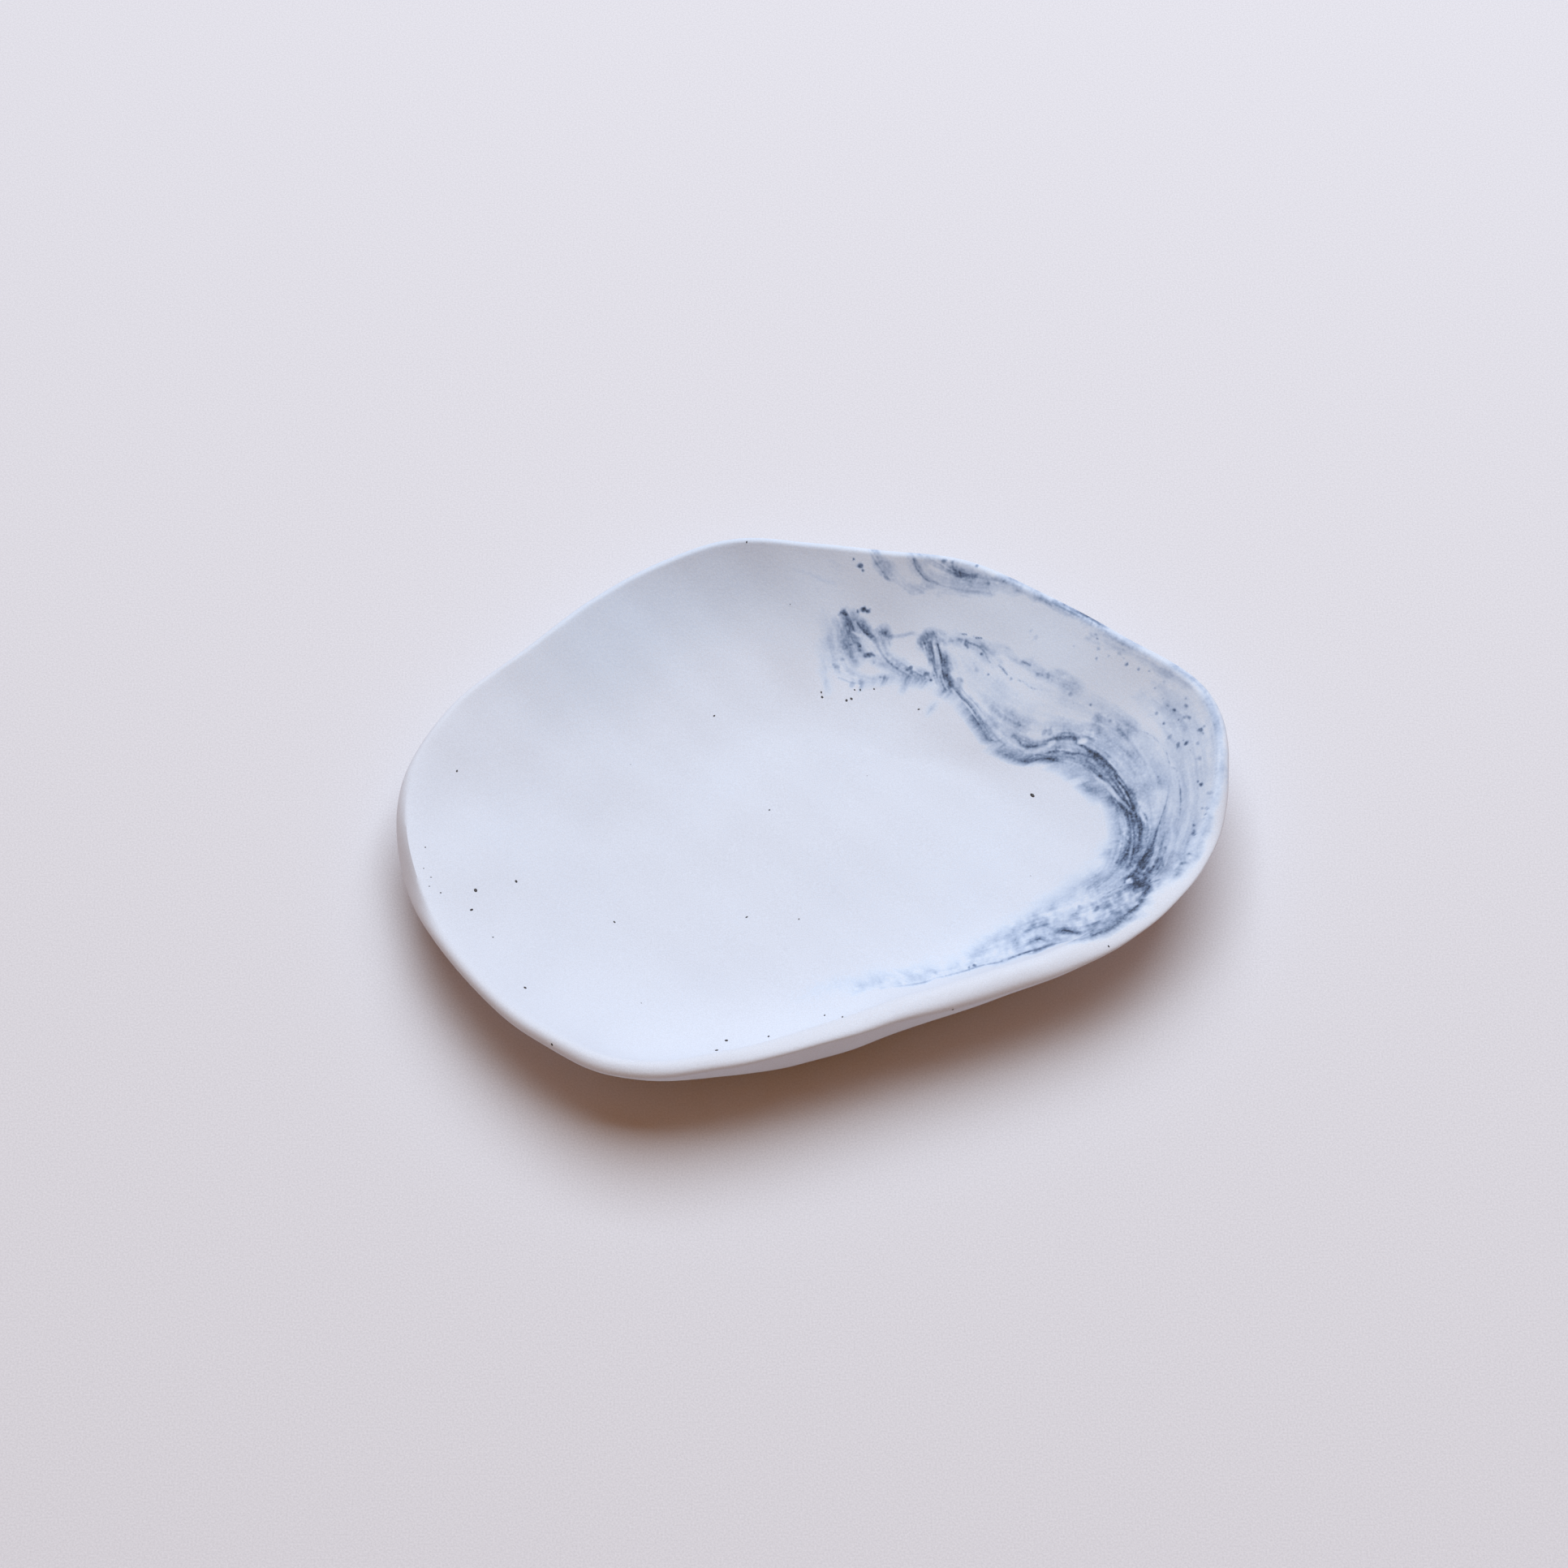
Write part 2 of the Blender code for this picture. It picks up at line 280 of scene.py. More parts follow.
# %% Smooth noise from a fixed seed
def smooth_noise(seed, size):
    """Noise of average 0 and spread 1, whose blobs are about size pixels wide."""
    white = np.random.default_rng(seed).standard_normal(sheet_x.shape)
    wave = np.hypot(np.fft.fftfreq(SHEET_HEIGHT)[:, None], np.fft.rfftfreq(SHEET_WIDTH)[None, :])
    kept = np.exp(-2 * (math.pi * size * wave / 2) ** 2)
    blurred = np.fft.irfft2(np.fft.rfft2(white) * kept, sheet_x.shape)
    return blurred / blurred.std()


# %% [markdown]
# ### Strokes
# A stroke is a list of points with a few widths and a few darknesses, which are spread evenly along it.
# Widths are half widths in pixels of the photograph. Darkness runs from 0, white clay, to 1, nearly black.
# The lists are laid down in turn: haze is broad and soft, bands are the combed veins, threads are single
# hairlines, and dots are grains of pure stain. Clear takes the stain away again where white clay shows.

# %% Haze: broad soft stain
HAZE = {
    "cluster": ([(1036, 742), (1046, 764), (1054, 788), (1062, 808)], [12, 20, 25, 16],
        [0.15, 0.4, 0.46, 0.34]),
    "cluster_right": ([(1056, 762), (1068, 778), (1078, 790)], [12, 14, 10], [0.4, 0.5, 0.35]),
    "cluster_skirt": ([(1028, 770), (1036, 800), (1046, 826), (1068, 838), (1096, 838)],
        [18, 20, 18, 14, 12], [0.16, 0.26, 0.24, 0.22, 0.22]),
    "cluster_breath": ([(1010, 750), (1016, 780), (1020, 815), (1020, 850)], [14, 18, 18, 14],
        [0.04, 0.08, 0.1, 0.12]),
    "eye_left": ([(1094, 778), (1086, 794), (1094, 810), (1108, 821), (1124, 830), (1142, 838)],
        [14, 18, 20, 19, 19, 16], [0.36, 0.42, 0.5, 0.52, 0.54, 0.52]),
    "eye_top": ([(1096, 785), (1107, 779), (1118, 776), (1130, 784), (1139, 796), (1143, 812)],
        [9, 8, 6, 5, 9, 12], [0.4, 0.34, 0.22, 0.12, 0.4, 0.5]),
    "stem": ([(1150, 792), (1156, 812), (1160, 830), (1167, 848), (1180, 862), (1194, 877), (1206, 893),
        (1218, 908), (1234, 922)], [19, 18, 18, 15, 12, 12, 18, 24, 24],
        [0.52, 0.5, 0.48, 0.4, 0.3, 0.36, 0.52, 0.58, 0.52]),
    "stem_right": ([(1168, 806), (1173, 828), (1180, 844)], [11, 10, 8], [0.24, 0.28, 0.3]),
    "brow": ([(1156, 783), (1178, 788), (1200, 795), (1216, 808), (1232, 820)], [16, 15, 13, 11, 10],
        [0.46, 0.38, 0.3, 0.18, 0.12]),
    "brow_far": ([(1212, 798), (1240, 802), (1262, 815), (1290, 832), (1322, 844)], [11, 13, 14, 16, 20],
        [0.26, 0.22, 0.24, 0.22, 0.22]),
    "island": ([(1190, 818), (1225, 850), (1275, 878), (1330, 890)], [30, 42, 40, 30],
        [0.1, 0.13, 0.08, 0.08]),
    "island_low": ([(1205, 862), (1236, 890), (1268, 900), (1310, 898), (1350, 900)],
        [16, 24, 20, 16, 22], [0.18, 0.44, 0.2, 0.2, 0.38]),
    "upper_flow": ([(1265, 830), (1310, 850), (1350, 868), (1385, 892)], [22, 28, 26, 26],
        [0.06, 0.15, 0.14, 0.3]),
    "band": ([(1236, 926), (1262, 930), (1292, 930), (1324, 930), (1350, 940), (1372, 958), (1388, 982),
        (1398, 1008), (1402, 1036), (1400, 1062), (1396, 1084)],
        [22, 24, 26, 24, 24, 25, 26, 28, 28, 26, 24],
        [0.46, 0.46, 0.42, 0.34, 0.44, 0.58, 0.6, 0.6, 0.54, 0.5, 0.54]),
    "band_upper": ([(1262, 916), (1290, 914), (1320, 908), (1350, 914), (1376, 924), (1396, 944),
        (1410, 972)], [14, 12, 15, 18, 20, 20, 20], [0.46, 0.3, 0.38, 0.42, 0.38, 0.2, 0.14]),
    "band_inner": ([(1296, 944), (1320, 952), (1342, 965), (1362, 980), (1380, 996)],
        [13, 17, 20, 22, 20], [0.36, 0.42, 0.5, 0.54, 0.5]),
    "band_inner_low": ([(1378, 1000), (1384, 1024), (1380, 1050), (1370, 1074), (1352, 1094)],
        [22, 26, 28, 30, 28], [0.4, 0.42, 0.4, 0.38, 0.32]),
    "right_of_band": ([(1388, 900), (1412, 936), (1424, 976), (1428, 1016), (1426, 1052), (1412, 1086)],
        [32, 32, 34, 32, 30, 28], [0.24, 0.18, 0.24, 0.18, 0.22, 0.52]),
    "right_wall": ([(1420, 850), (1450, 886), (1464, 930), (1468, 980), (1458, 1026), (1440, 1070)],
        [36, 40, 42, 40, 36, 34], [0.2, 0.24, 0.2, 0.18, 0.22, 0.5]),
    "right_corner": ([(1490, 1012), (1480, 1046), (1460, 1080)], [12, 15, 16], [0.16, 0.3, 0.28]),
    "back_left": ([(968, 688), (1000, 700), (1034, 712), (1064, 722)], [30, 34, 30, 22],
        [0.08, 0.14, 0.12, 0.06]),
    "beside_the_line": ([(1436, 985), (1430, 1015), (1420, 1042), (1408, 1066)], [8, 11, 12, 12],
        [0.1, 0.18, 0.24, 0.32]),
    "right_rim": ([(1340, 780), (1420, 812), (1478, 850), (1500, 905), (1500, 960), (1490, 1005)],
        [12, 16, 18, 18, 16, 12], [0.25, 0.28, 0.32, 0.3, 0.26, 0.16]),
    "rim_arc": ([(1078, 680), (1094, 700), (1116, 716), (1150, 732)], [14, 17, 17, 12],
        [0.34, 0.32, 0.28, 0.2]),
    "rim_patch": ([(1120, 684), (1150, 700), (1185, 710), (1215, 714), (1250, 722)], [18, 22, 24, 22, 16],
        [0.28, 0.36, 0.38, 0.32, 0.2]),
    "rim_patch_low": ([(1140, 722), (1180, 730), (1215, 732)], [12, 14, 12], [0.26, 0.26, 0.2]),
    "back_rim_right": ([(1235, 712), (1280, 734), (1320, 754), (1355, 772), (1400, 795)],
        [10, 12, 12, 12, 12], [0.3, 0.34, 0.34, 0.24, 0.2]),
    "back_left_breath": ([(952, 722), (985, 752), (1012, 792), (1030, 840)], [30, 34, 30, 16],
        [0.04, 0.05, 0.05, 0.03]),
    "tongue_end": ([(1345, 1080), (1310, 1100), (1275, 1118), (1240, 1136), (1205, 1158)],
        [26, 26, 26, 24, 20], [0.28, 0.28, 0.26, 0.16, 0.12]),
    "front_cloud": ([(1404, 1100), (1376, 1112), (1344, 1126), (1310, 1136), (1280, 1144), (1246, 1156),
        (1200, 1172)], [24, 26, 26, 24, 26, 24, 20], [0.42, 0.4, 0.34, 0.3, 0.23, 0.15, 0.1]),
    "front_edge": ([(1412, 1116), (1385, 1130), (1350, 1144), (1310, 1156), (1270, 1168), (1220, 1184),
        (1150, 1200), (1060, 1214)], [16, 18, 16, 13, 12, 13, 13, 16],
        [0.42, 0.44, 0.26, 0.2, 0.18, 0.2, 0.16, 0.1]),
    "front_far_high": ([(1205, 1176), (1160, 1186), (1110, 1194), (1060, 1200)], [15, 17, 17, 14],
        [0.12, 0.11, 0.08, 0.04]),
    "front_far": ([(1130, 1196), (1080, 1206), (1030, 1214), (980, 1222)], [18, 20, 20, 16],
        [0.08, 0.07, 0.05, 0.03]),
}

# %% Bands: combed veins of several streaks
BANDS = {
    "main": ([(1345, 928), (1356, 937), (1368, 950), (1379, 964), (1388, 978), (1394, 992), (1398, 1006),
        (1400, 1020), (1400, 1036), (1398, 1052)], [6, 8, 10, 11, 11, 10, 9, 9, 10, 9],
        [0.55, 0.6, 0.62, 0.62, 0.62, 0.62, 0.6, 0.55, 0.5, 0.4]),
    "main_left": ([(1284, 928), (1304, 926), (1324, 928), (1342, 934)], [6, 8, 9, 8],
        [0.42, 0.44, 0.28, 0.4]),
    "upper_blotch": ([(1250, 906), (1258, 915), (1268, 920), (1280, 917)], [6, 8, 9, 6],
        [0.34, 0.44, 0.46, 0.3]),
    "upper_line": ([(1286, 915), (1302, 911), (1318, 906), (1326, 912)], [4, 7, 9, 6],
        [0.3, 0.45, 0.6, 0.5]),
    "band_top": ([(1325, 916), (1341, 923), (1352, 932)], [3, 4, 6], [0.5, 0.6, 0.7]),
    "stem_low": ([(1164, 850), (1176, 862), (1188, 874), (1198, 886), (1206, 899), (1216, 913),
        (1226, 923), (1238, 932)], [6, 7, 7, 8, 8, 8, 8, 7],
        [0.6, 0.66, 0.66, 0.66, 0.66, 0.55, 0.55, 0.6]),
    "stem_top": ([(1148, 794), (1150, 812), (1153, 826), (1160, 842)], [5, 6, 6, 7],
        [0.5, 0.5, 0.4, 0.5]),
    "stem_top_right": ([(1158, 794), (1161, 812), (1163, 830), (1168, 848)], [4, 6, 7, 7],
        [0.45, 0.5, 0.55, 0.5]),
    "stem_middle": ([(1176, 850), (1190, 864), (1202, 879), (1212, 893)], [5, 6, 6, 5],
        [0.4, 0.45, 0.45, 0.35]),
    "lower_edge": ([(1236, 931), (1248, 937), (1264, 938), (1284, 936), (1302, 936)], [5, 6, 6, 5, 4],
        [0.6, 0.6, 0.55, 0.5, 0.35]),
    "inner_dark": ([(1318, 951), (1334, 960), (1350, 970), (1366, 981), (1378, 991)], [4, 6, 7, 8, 6],
        [0.4, 0.45, 0.45, 0.45, 0.35]),
    "pocket_side": ([(1405, 1010), (1410, 1024), (1408, 1042)], [6, 7, 8], [0.3, 0.36, 0.3]),
    "clump": ([(1417, 1072), (1409, 1080), (1401, 1088)], [5, 7, 6], [0.4, 0.46, 0.42]),
    "clump_low": ([(1398, 1092), (1410, 1093), (1418, 1090)], [4, 5, 4], [0.35, 0.4, 0.3]),
    "clump_left": ([(1386, 1084), (1394, 1080)], [5, 6], [0.5, 0.45]),
    "clump_to_edge": ([(1416, 1094), (1410, 1104), (1402, 1114), (1392, 1123)], [5, 6, 6, 6],
        [0.5, 0.5, 0.45, 0.45]),
    "edge": ([(1408, 1125), (1396, 1131), (1384, 1136), (1372, 1141), (1360, 1146), (1348, 1151)],
        [4, 6, 8, 8, 6, 4], [0.6, 0.72, 0.78, 0.75, 0.6, 0.4]),
    "front_dash": ([(1304, 1147), (1316, 1147), (1328, 1150)], [6, 8, 6], [0.4, 0.5, 0.35]),
    "front_blots": ([(1292, 1160), (1280, 1158), (1266, 1162)], [5, 6, 5], [0.25, 0.3, 0.2]),
    "front_upper_blots": ([(1262, 1148), (1272, 1142), (1290, 1138)], [5, 6, 6], [0.28, 0.32, 0.25]),
    "front_blob": ([(1250, 1160), (1251, 1167)], [6, 6], [0.22, 0.22]),
    "front_line": ([(1300, 1165), (1276, 1171), (1256, 1178), (1236, 1184)], [4, 4, 4, 4],
        [0.4, 0.45, 0.45, 0.3]),
    "cluster_core": ([(1040, 754), (1048, 768), (1050, 784)], [7, 9, 9], [0.36, 0.4, 0.4]),
    "cluster_streak": ([(1054, 766), (1063, 777), (1074, 787)], [6, 6, 5], [0.4, 0.45, 0.4]),
    "eye_right": ([(1138, 790), (1142, 800), (1144, 812)], [7, 7, 6], [0.4, 0.4, 0.35]),
    "eye_below": ([(1118, 822), (1130, 830), (1142, 836)], [6, 7, 7], [0.25, 0.3, 0.35]),
    "rim_arc_inner": ([(1124, 690), (1130, 700), (1140, 712), (1154, 720)], [4, 5, 5, 4],
        [0.24, 0.36, 0.34, 0.26]),
    "rim_arc_outer": ([(1074, 680), (1080, 690), (1088, 704), (1096, 714)], [4, 6, 7, 6],
        [0.18, 0.26, 0.28, 0.24]),
    "rim_smudge": ([(1160, 693), (1170, 700), (1184, 707), (1198, 710)], [5, 8, 10, 7],
        [0.36, 0.45, 0.55, 0.4]),
    "rim_streak": ([(1300, 740), (1322, 751), (1340, 763), (1356, 772), (1376, 784)], [5, 7, 8, 7, 5],
        [0.36, 0.55, 0.6, 0.5, 0.3]),
}

# %% Threads: single hairlines
THREADS = {
    "edge_of_the_white": ([(1163, 850), (1175, 862), (1187, 873), (1197, 885), (1205, 898), (1215, 912),
        (1225, 922), (1236, 931), (1246, 936), (1262, 938), (1280, 936), (1300, 935)],
        [2, 3, 3, 3.2, 3, 2.4, 2.2, 2.8, 2.4, 2, 1.8, 1.4],
        [0.7, 0.9, 0.9, 0.9, 0.85, 0.6, 0.6, 0.8, 0.75, 0.7, 0.6, 0.4]),
    "stem_twin_left": ([(1148, 795), (1149, 805), (1151, 816)], [1.8, 2.2, 1.4], [0.9, 0.9, 0.6]),
    "stem_twin_right": ([(1157, 794), (1160, 807), (1161, 821), (1160, 833), (1163, 843)],
        [1.8, 1.8, 1.6, 1.8, 1.8], [0.85, 0.6, 0.6, 0.7, 0.6]),
    "stem_strand_b": ([(1176, 850), (1188, 863), (1200, 876), (1209, 889), (1217, 899)],
        [1.4, 1.8, 1.8, 1.6, 1.2], [0.4, 0.6, 0.6, 0.6, 0.3]),
    "stem_strand_c": ([(1181, 846), (1195, 860), (1208, 873), (1216, 884)], [1.2, 1.5, 1.4, 1.2],
        [0.3, 0.4, 0.4, 0.2]),
    "upper_line": ([(1246, 904), (1254, 912), (1262, 920), (1276, 918)], [1.2, 1.5, 1.6, 1.2],
        [0.45, 0.55, 0.55, 0.4]),
    "band_line": ([(1262, 932), (1282, 929), (1306, 926), (1330, 929), (1346, 935)],
        [1.4, 1.8, 2.2, 2.2, 1.8], [0.5, 0.6, 0.7, 0.7, 0.6]),
    "band_top_line": ([(1325, 916), (1341, 923), (1350, 930), (1361, 941), (1371, 953), (1382, 967),
        (1391, 982)], [1.6, 1.8, 1.8, 2, 2, 2, 1.6], [0.7, 0.8, 0.8, 0.7, 0.65, 0.7, 0.5]),
    "band_core": ([(1372, 956), (1384, 970), (1392, 986), (1396, 1000), (1399, 1014), (1400, 1030)],
        [1.8, 2.2, 2.4, 2.4, 2.2, 1.8], [0.6, 0.7, 0.7, 0.7, 0.7, 0.5]),
    "inner_line": ([(1290, 940), (1304, 945), (1318, 951), (1333, 960), (1345, 967), (1357, 976)],
        [1.2, 1.5, 1.7, 1.8, 1.6, 1.4], [0.4, 0.6, 0.65, 0.65, 0.6, 0.4]),
    "thin_right_line": ([(1404, 898), (1415, 905), (1426, 915), (1438, 928), (1441, 940), (1449, 948),
        (1453, 960), (1456, 975), (1456, 990), (1453, 1003), (1449, 1016)],
        [0.9, 1.3, 1.3, 1.5, 1.5, 1.7, 1.8, 2.0, 1.8, 1.5, 1.0],
        [0.25, 0.4, 0.35, 0.45, 0.5, 0.5, 0.6, 0.65, 0.6, 0.45, 0.25]),
    "middle_right_line": ([(1439, 980), (1437, 990), (1433, 1001), (1430, 1014), (1425, 1025),
        (1420, 1039), (1412, 1055), (1406, 1065)], [1.2, 1.4, 1.5, 1.7, 2.4, 1.8, 1.8, 2.1],
        [0.3, 0.45, 0.5, 0.6, 0.9, 0.6, 0.65, 0.95]),
    "pocket_line": ([(1405, 994), (1409, 1001), (1412, 1011), (1411, 1020)], [1.3, 1.6, 1.6, 1.3],
        [0.5, 0.65, 0.65, 0.4]),
    "clump_line": ([(1428, 1084), (1419, 1088), (1416, 1094), (1410, 1104), (1402, 1113), (1394, 1121),
        (1385, 1130)], [1.1, 1.5, 2, 2, 1.9, 1.8, 1.4], [0.5, 0.7, 0.9, 0.95, 0.9, 0.8, 0.6]),
    "loop_low": ([(1384, 1089), (1388, 1083), (1395, 1080), (1402, 1083)], [1.4, 1.6, 1.6, 1.6],
        [0.9, 0.85, 0.7, 0.8]),
    "loop_high": ([(1358, 1104), (1370, 1099), (1380, 1094), (1390, 1090), (1402, 1092)],
        [1.1, 1.3, 1.6, 1.6, 1.8], [0.35, 0.45, 0.6, 0.7, 0.9]),
    "edge_black": ([(1416, 1121), (1404, 1127), (1392, 1133), (1378, 1138), (1366, 1143), (1354, 1148),
        (1344, 1153)], [1.4, 2, 2.6, 2.8, 2.6, 2, 1.3], [0.7, 0.9, 1, 1, 0.95, 0.8, 0.5]),
    "edge_left": ([(1336, 1157), (1316, 1160), (1296, 1165), (1276, 1170), (1256, 1177), (1242, 1183)],
        [1.2, 1.4, 1.5, 1.6, 1.6, 1.4], [0.35, 0.4, 0.5, 0.55, 0.55, 0.45]),
    "lip_dashes": ([(1236, 1184), (1210, 1190), (1180, 1199), (1130, 1211), (1085, 1219)],
        [1.3, 1.5, 1.5, 1.4, 1.2], [0.45, 0.5, 0.4, 0.35, 0.2]),
    "front_dash": ([(1308, 1146), (1317, 1147), (1326, 1150)], [1.8, 2.4, 1.8], [0.8, 0.9, 0.7]),
    "front_dash_low": ([(1274, 1159), (1281, 1158), (1287, 1160)], [1.6, 2.0, 1.4], [0.6, 0.8, 0.5]),
    "rim_streak_line": ([(1318, 746), (1329, 755), (1341, 764), (1353, 772)], [1.4, 1.8, 1.8, 1.4],
        [0.6, 0.7, 0.7, 0.5]),
    "brow_dash_a": ([(1185, 781), (1190, 781)], [1.4, 1.4], [0.8, 0.8]),
    "brow_dash_b": ([(1201, 786), (1209, 787)], [1.5, 1.5], [0.9, 0.8]),
    "brow_streak": ([(1193, 792), (1203, 796), (1210, 800), (1216, 809), (1221, 816)],
        [2, 2.2, 2, 1.8, 1.6], [0.6, 0.5, 0.45, 0.5, 0.45]),
    "brow_dash_c": ([(1231, 820), (1236, 826), (1241, 833)], [1.6, 2, 1.6], [0.6, 0.75, 0.6]),
    "brow_line": ([(1254, 838), (1262, 842), (1270, 847), (1284, 850)], [1.1, 1.3, 1.2, 1],
        [0.45, 0.5, 0.45, 0.25]),
    "far_dash": ([(1260, 814), (1268, 819)], [2.6, 2.6], [0.5, 0.5]),
    "cluster_line": ([(1057, 767), (1064, 778), (1074, 786)], [1.6, 2, 1.6], [0.55, 0.6, 0.5]),
    "low_streak": ([(1102, 840), (1110, 844), (1119, 848)], [1.8, 2.2, 1.6], [0.5, 0.65, 0.5]),
    "low_arc": ([(1034, 836), (1048, 842), (1066, 843), (1080, 840)], [2, 2, 2, 1.6],
        [0.25, 0.3, 0.3, 0.25]),
    "arc_line": ([(1124, 689), (1129, 699), (1139, 712), (1150, 719)], [1.2, 1.5, 1.5, 1.2],
        [0.3, 0.4, 0.4, 0.3]),
}

# %% Dots: grains of pure stain, as x, y, half width and darkness
DOTS = [
    (1065, 751, 4, 1), (1069, 753, 3.2, 0.9), (1071, 808, 4.4, 0.95), (1060, 796, 2.4, 0.9),
    (1059, 801, 2, 0.8), (1041, 756, 3.2, 0.8), (1045, 770, 3, 0.5), (1050, 843, 4, 0.3),
    (1062, 843, 4.5, 0.35), (1030, 822, 2.4, 0.35), (1038, 812, 2.6, 0.35), (1052, 790, 3, 0.5),
    (1046, 780, 3, 0.5), (1090, 836, 2.2, 0.5), (1094, 836, 2, 0.4), (1122, 823, 1.8, 0.7),
    (1124, 829, 1.8, 0.6), (1147, 838, 2.6, 0.9), (1151, 832, 1.8, 0.7), (1149, 845, 2, 0.8),
    (1141, 831, 2.2, 0.5), (1191, 790, 3, 0.53), (1182, 788, 3, 0.35), (1172, 790, 3.2, 0.31),
    (1209, 806, 1.8, 0.79), (1203, 825, 3, 0.31), (1218, 831, 1.6, 0.75), (1183, 838, 2.1, 0.26),
    (1246, 836, 1.9, 0.44), (1292, 834, 2.3, 0.44), (1284, 832, 2.1, 0.35), (1276, 785, 2.5, 0.26),
    (1319, 855, 2.6, 0.35), (1344, 868, 1.4, 0.7), (1323, 867, 1.2, 0.44), (1146, 875, 4.6, 0.35),
    (1060, 697, 2.6, 0.85), (1063, 703, 2.2, 0.8), (1164, 691, 3, 0.62), (1174, 692, 1.9, 0.53),
    (1204, 697, 1.6, 0.62), (1182, 706, 4.8, 0.44), (1204, 708, 2.1, 0.53), (1218, 719, 2.1, 0.44),
    (1092, 712, 2.4, 0.4), (1323, 796, 1.6, 0.35), (1352, 787, 1.8, 0.7), (1353, 800, 1.9, 0.44),
    (1351, 811, 1.6, 0.75), (1366, 808, 1.1, 0.7), (1389, 818, 1.8, 0.75), (1403, 825, 1.8, 0.62),
    (1416, 827, 1.6, 0.7), (1378, 805, 1.8, 0.31), (1423, 848, 1.3, 0.53), (1434, 840, 1.4, 0.31),
    (1433, 861, 1.3, 0.44), (1439, 869, 1.6, 0.53), (1447, 875, 1.6, 0.75), (1425, 879, 1.3, 0.53),
    (1434, 891, 1.4, 0.7), (1452, 887, 1.5, 0.79), (1459, 884, 2.1, 0.53), (1461, 869, 2.3, 0.53),
    (1466, 884, 1.9, 0.53), (1480, 899, 3, 0.7), (1484, 895, 2.3, 0.44), (1462, 915, 1.7, 0.79),
    (1458, 912, 1.8, 0.44), (1440, 908, 1.8, 0.44), (1452, 916, 1.9, 0.53), (1475, 916, 1.8, 0.4),
    (1478, 934, 2.8, 0.35), (1427, 957, 1.3, 0.44), (1479, 966, 2.1, 0.88), (1476, 963, 1.6, 0.7),
    (1489, 977, 1.8, 0.31), (1487, 996, 1.6, 0.53), (1485, 1003, 1.6, 0.53), (1482, 1009, 1.4, 0.35),
    (1471, 1017, 1.7, 0.79), (1471, 1023, 1.7, 0.79), (1469, 1027, 1.6, 0.79), (1436, 1045, 1.6, 0.53),
    (1466, 1052, 1.8, 0.53), (1462, 1059, 1.9, 0.53), (1456, 1063, 1.8, 0.53), (1458, 1084, 1.8, 0.44),
    (1376, 1063, 1.4, 0.53), (1352, 1119, 2.1, 0.53), (1330, 1117, 1.8, 0.26), (1365, 882, 1.4, 0.35),
    (1368, 888, 1.4, 0.35), (1194, 1192, 1.6, 0.7), (1200, 1189, 1.6, 0.7), (1286, 903, 3, 0.35),
    (1294, 902, 3, 0.35), (1256, 893, 2.6, 0.31), (1414, 1073, 3.5, 0.7), (1409, 1078, 2.6, 0.62),
    (1412, 1084, 2.3, 0.62), (1399, 1088, 2.6, 0.7)]

# %% Clear: white clay that cuts through the stain
CLEAR = {
    "eye": ([(1106, 790), (1120, 801), (1133, 813)], [11, 15, 10], [1, 1, 1]),
    "white_blob": ([(1330, 913), (1334, 912)], [6, 6], [0.9, 0.9]),
    "white_spots": ([(1294, 917), (1298, 916)], [5, 5], [0.7, 0.7]),
    "island_spot": ([(1270, 905), (1284, 905)], [7, 7], [0.5, 0.5]),
    "beside_the_stem": ([(1174, 831), (1178, 836)], [6, 6], [0.8, 0.8]),
    "sliver_in_the_band": ([(1350, 955), (1362, 965), (1372, 975), (1382, 986), (1391, 998)],
        [2.2, 3, 3.2, 3, 2.2], [0.4, 0.5, 0.55, 0.5, 0.4]),
    "pale_pocket": ([(1405, 1001), (1407, 1010)], [2.4, 2.4], [0.5, 0.5]),
    "upper_arc": ([(1345, 828), (1387, 834), (1410, 843), (1430, 862)], [8, 9, 9, 8],
        [0.5, 0.6, 0.6, 0.4]),
    "lower_arc": ([(1360, 856), (1380, 865), (1400, 880), (1420, 895), (1434, 914)], [4, 6, 7, 7, 5],
        [0.4, 0.6, 0.7, 0.6, 0.4]),
    "line_by_the_stem": ([(1170, 847), (1183, 860), (1196, 874), (1206, 888)], [1.6, 1.8, 1.8, 1.4],
        [0.5, 0.6, 0.6, 0.5]),
    "cluster_sliver": ([(1052, 779), (1059, 783), (1066, 786)], [2, 2.6, 2], [0.6, 0.6, 0.5]),
    "loop": ([(1387, 1086), (1391, 1084)], [3, 3], [0.8, 0.8]),
    "below_the_blotch": ([(1262, 926), (1276, 924), (1292, 921)], [3, 3.4, 3], [0.5, 0.5, 0.4]),
    "white_wall": ([(1090, 738), (1130, 746), (1180, 752), (1240, 766), (1300, 792)],
        [12, 18, 20, 22, 18], [0.5, 0.7, 0.8, 0.8, 0.5]),
}
print(len(HAZE), "hazes,", len(BANDS), "bands,", len(THREADS), "threads,", len(DOTS), "dots")
print(len(CLEAR), "clear streaks")


# %% Draw one stroke
def smooth_line(points, steps=7):
    """Catmull-Rom curve through the points, as an array of x and y."""
    p = np.array([points[0], *points, points[-1]], float)
    t = np.arange(steps)[:, None] / steps
    spans = [
        b + 0.5 * t * (c - a + t * (2 * a - 5 * b + 4 * c - d + t * (3 * (b - c) + d - a)))
        for a, b, c, d in zip(p, p[1:], p[2:], p[3:])]
    return np.vstack([*spans, p[-2:-1]])


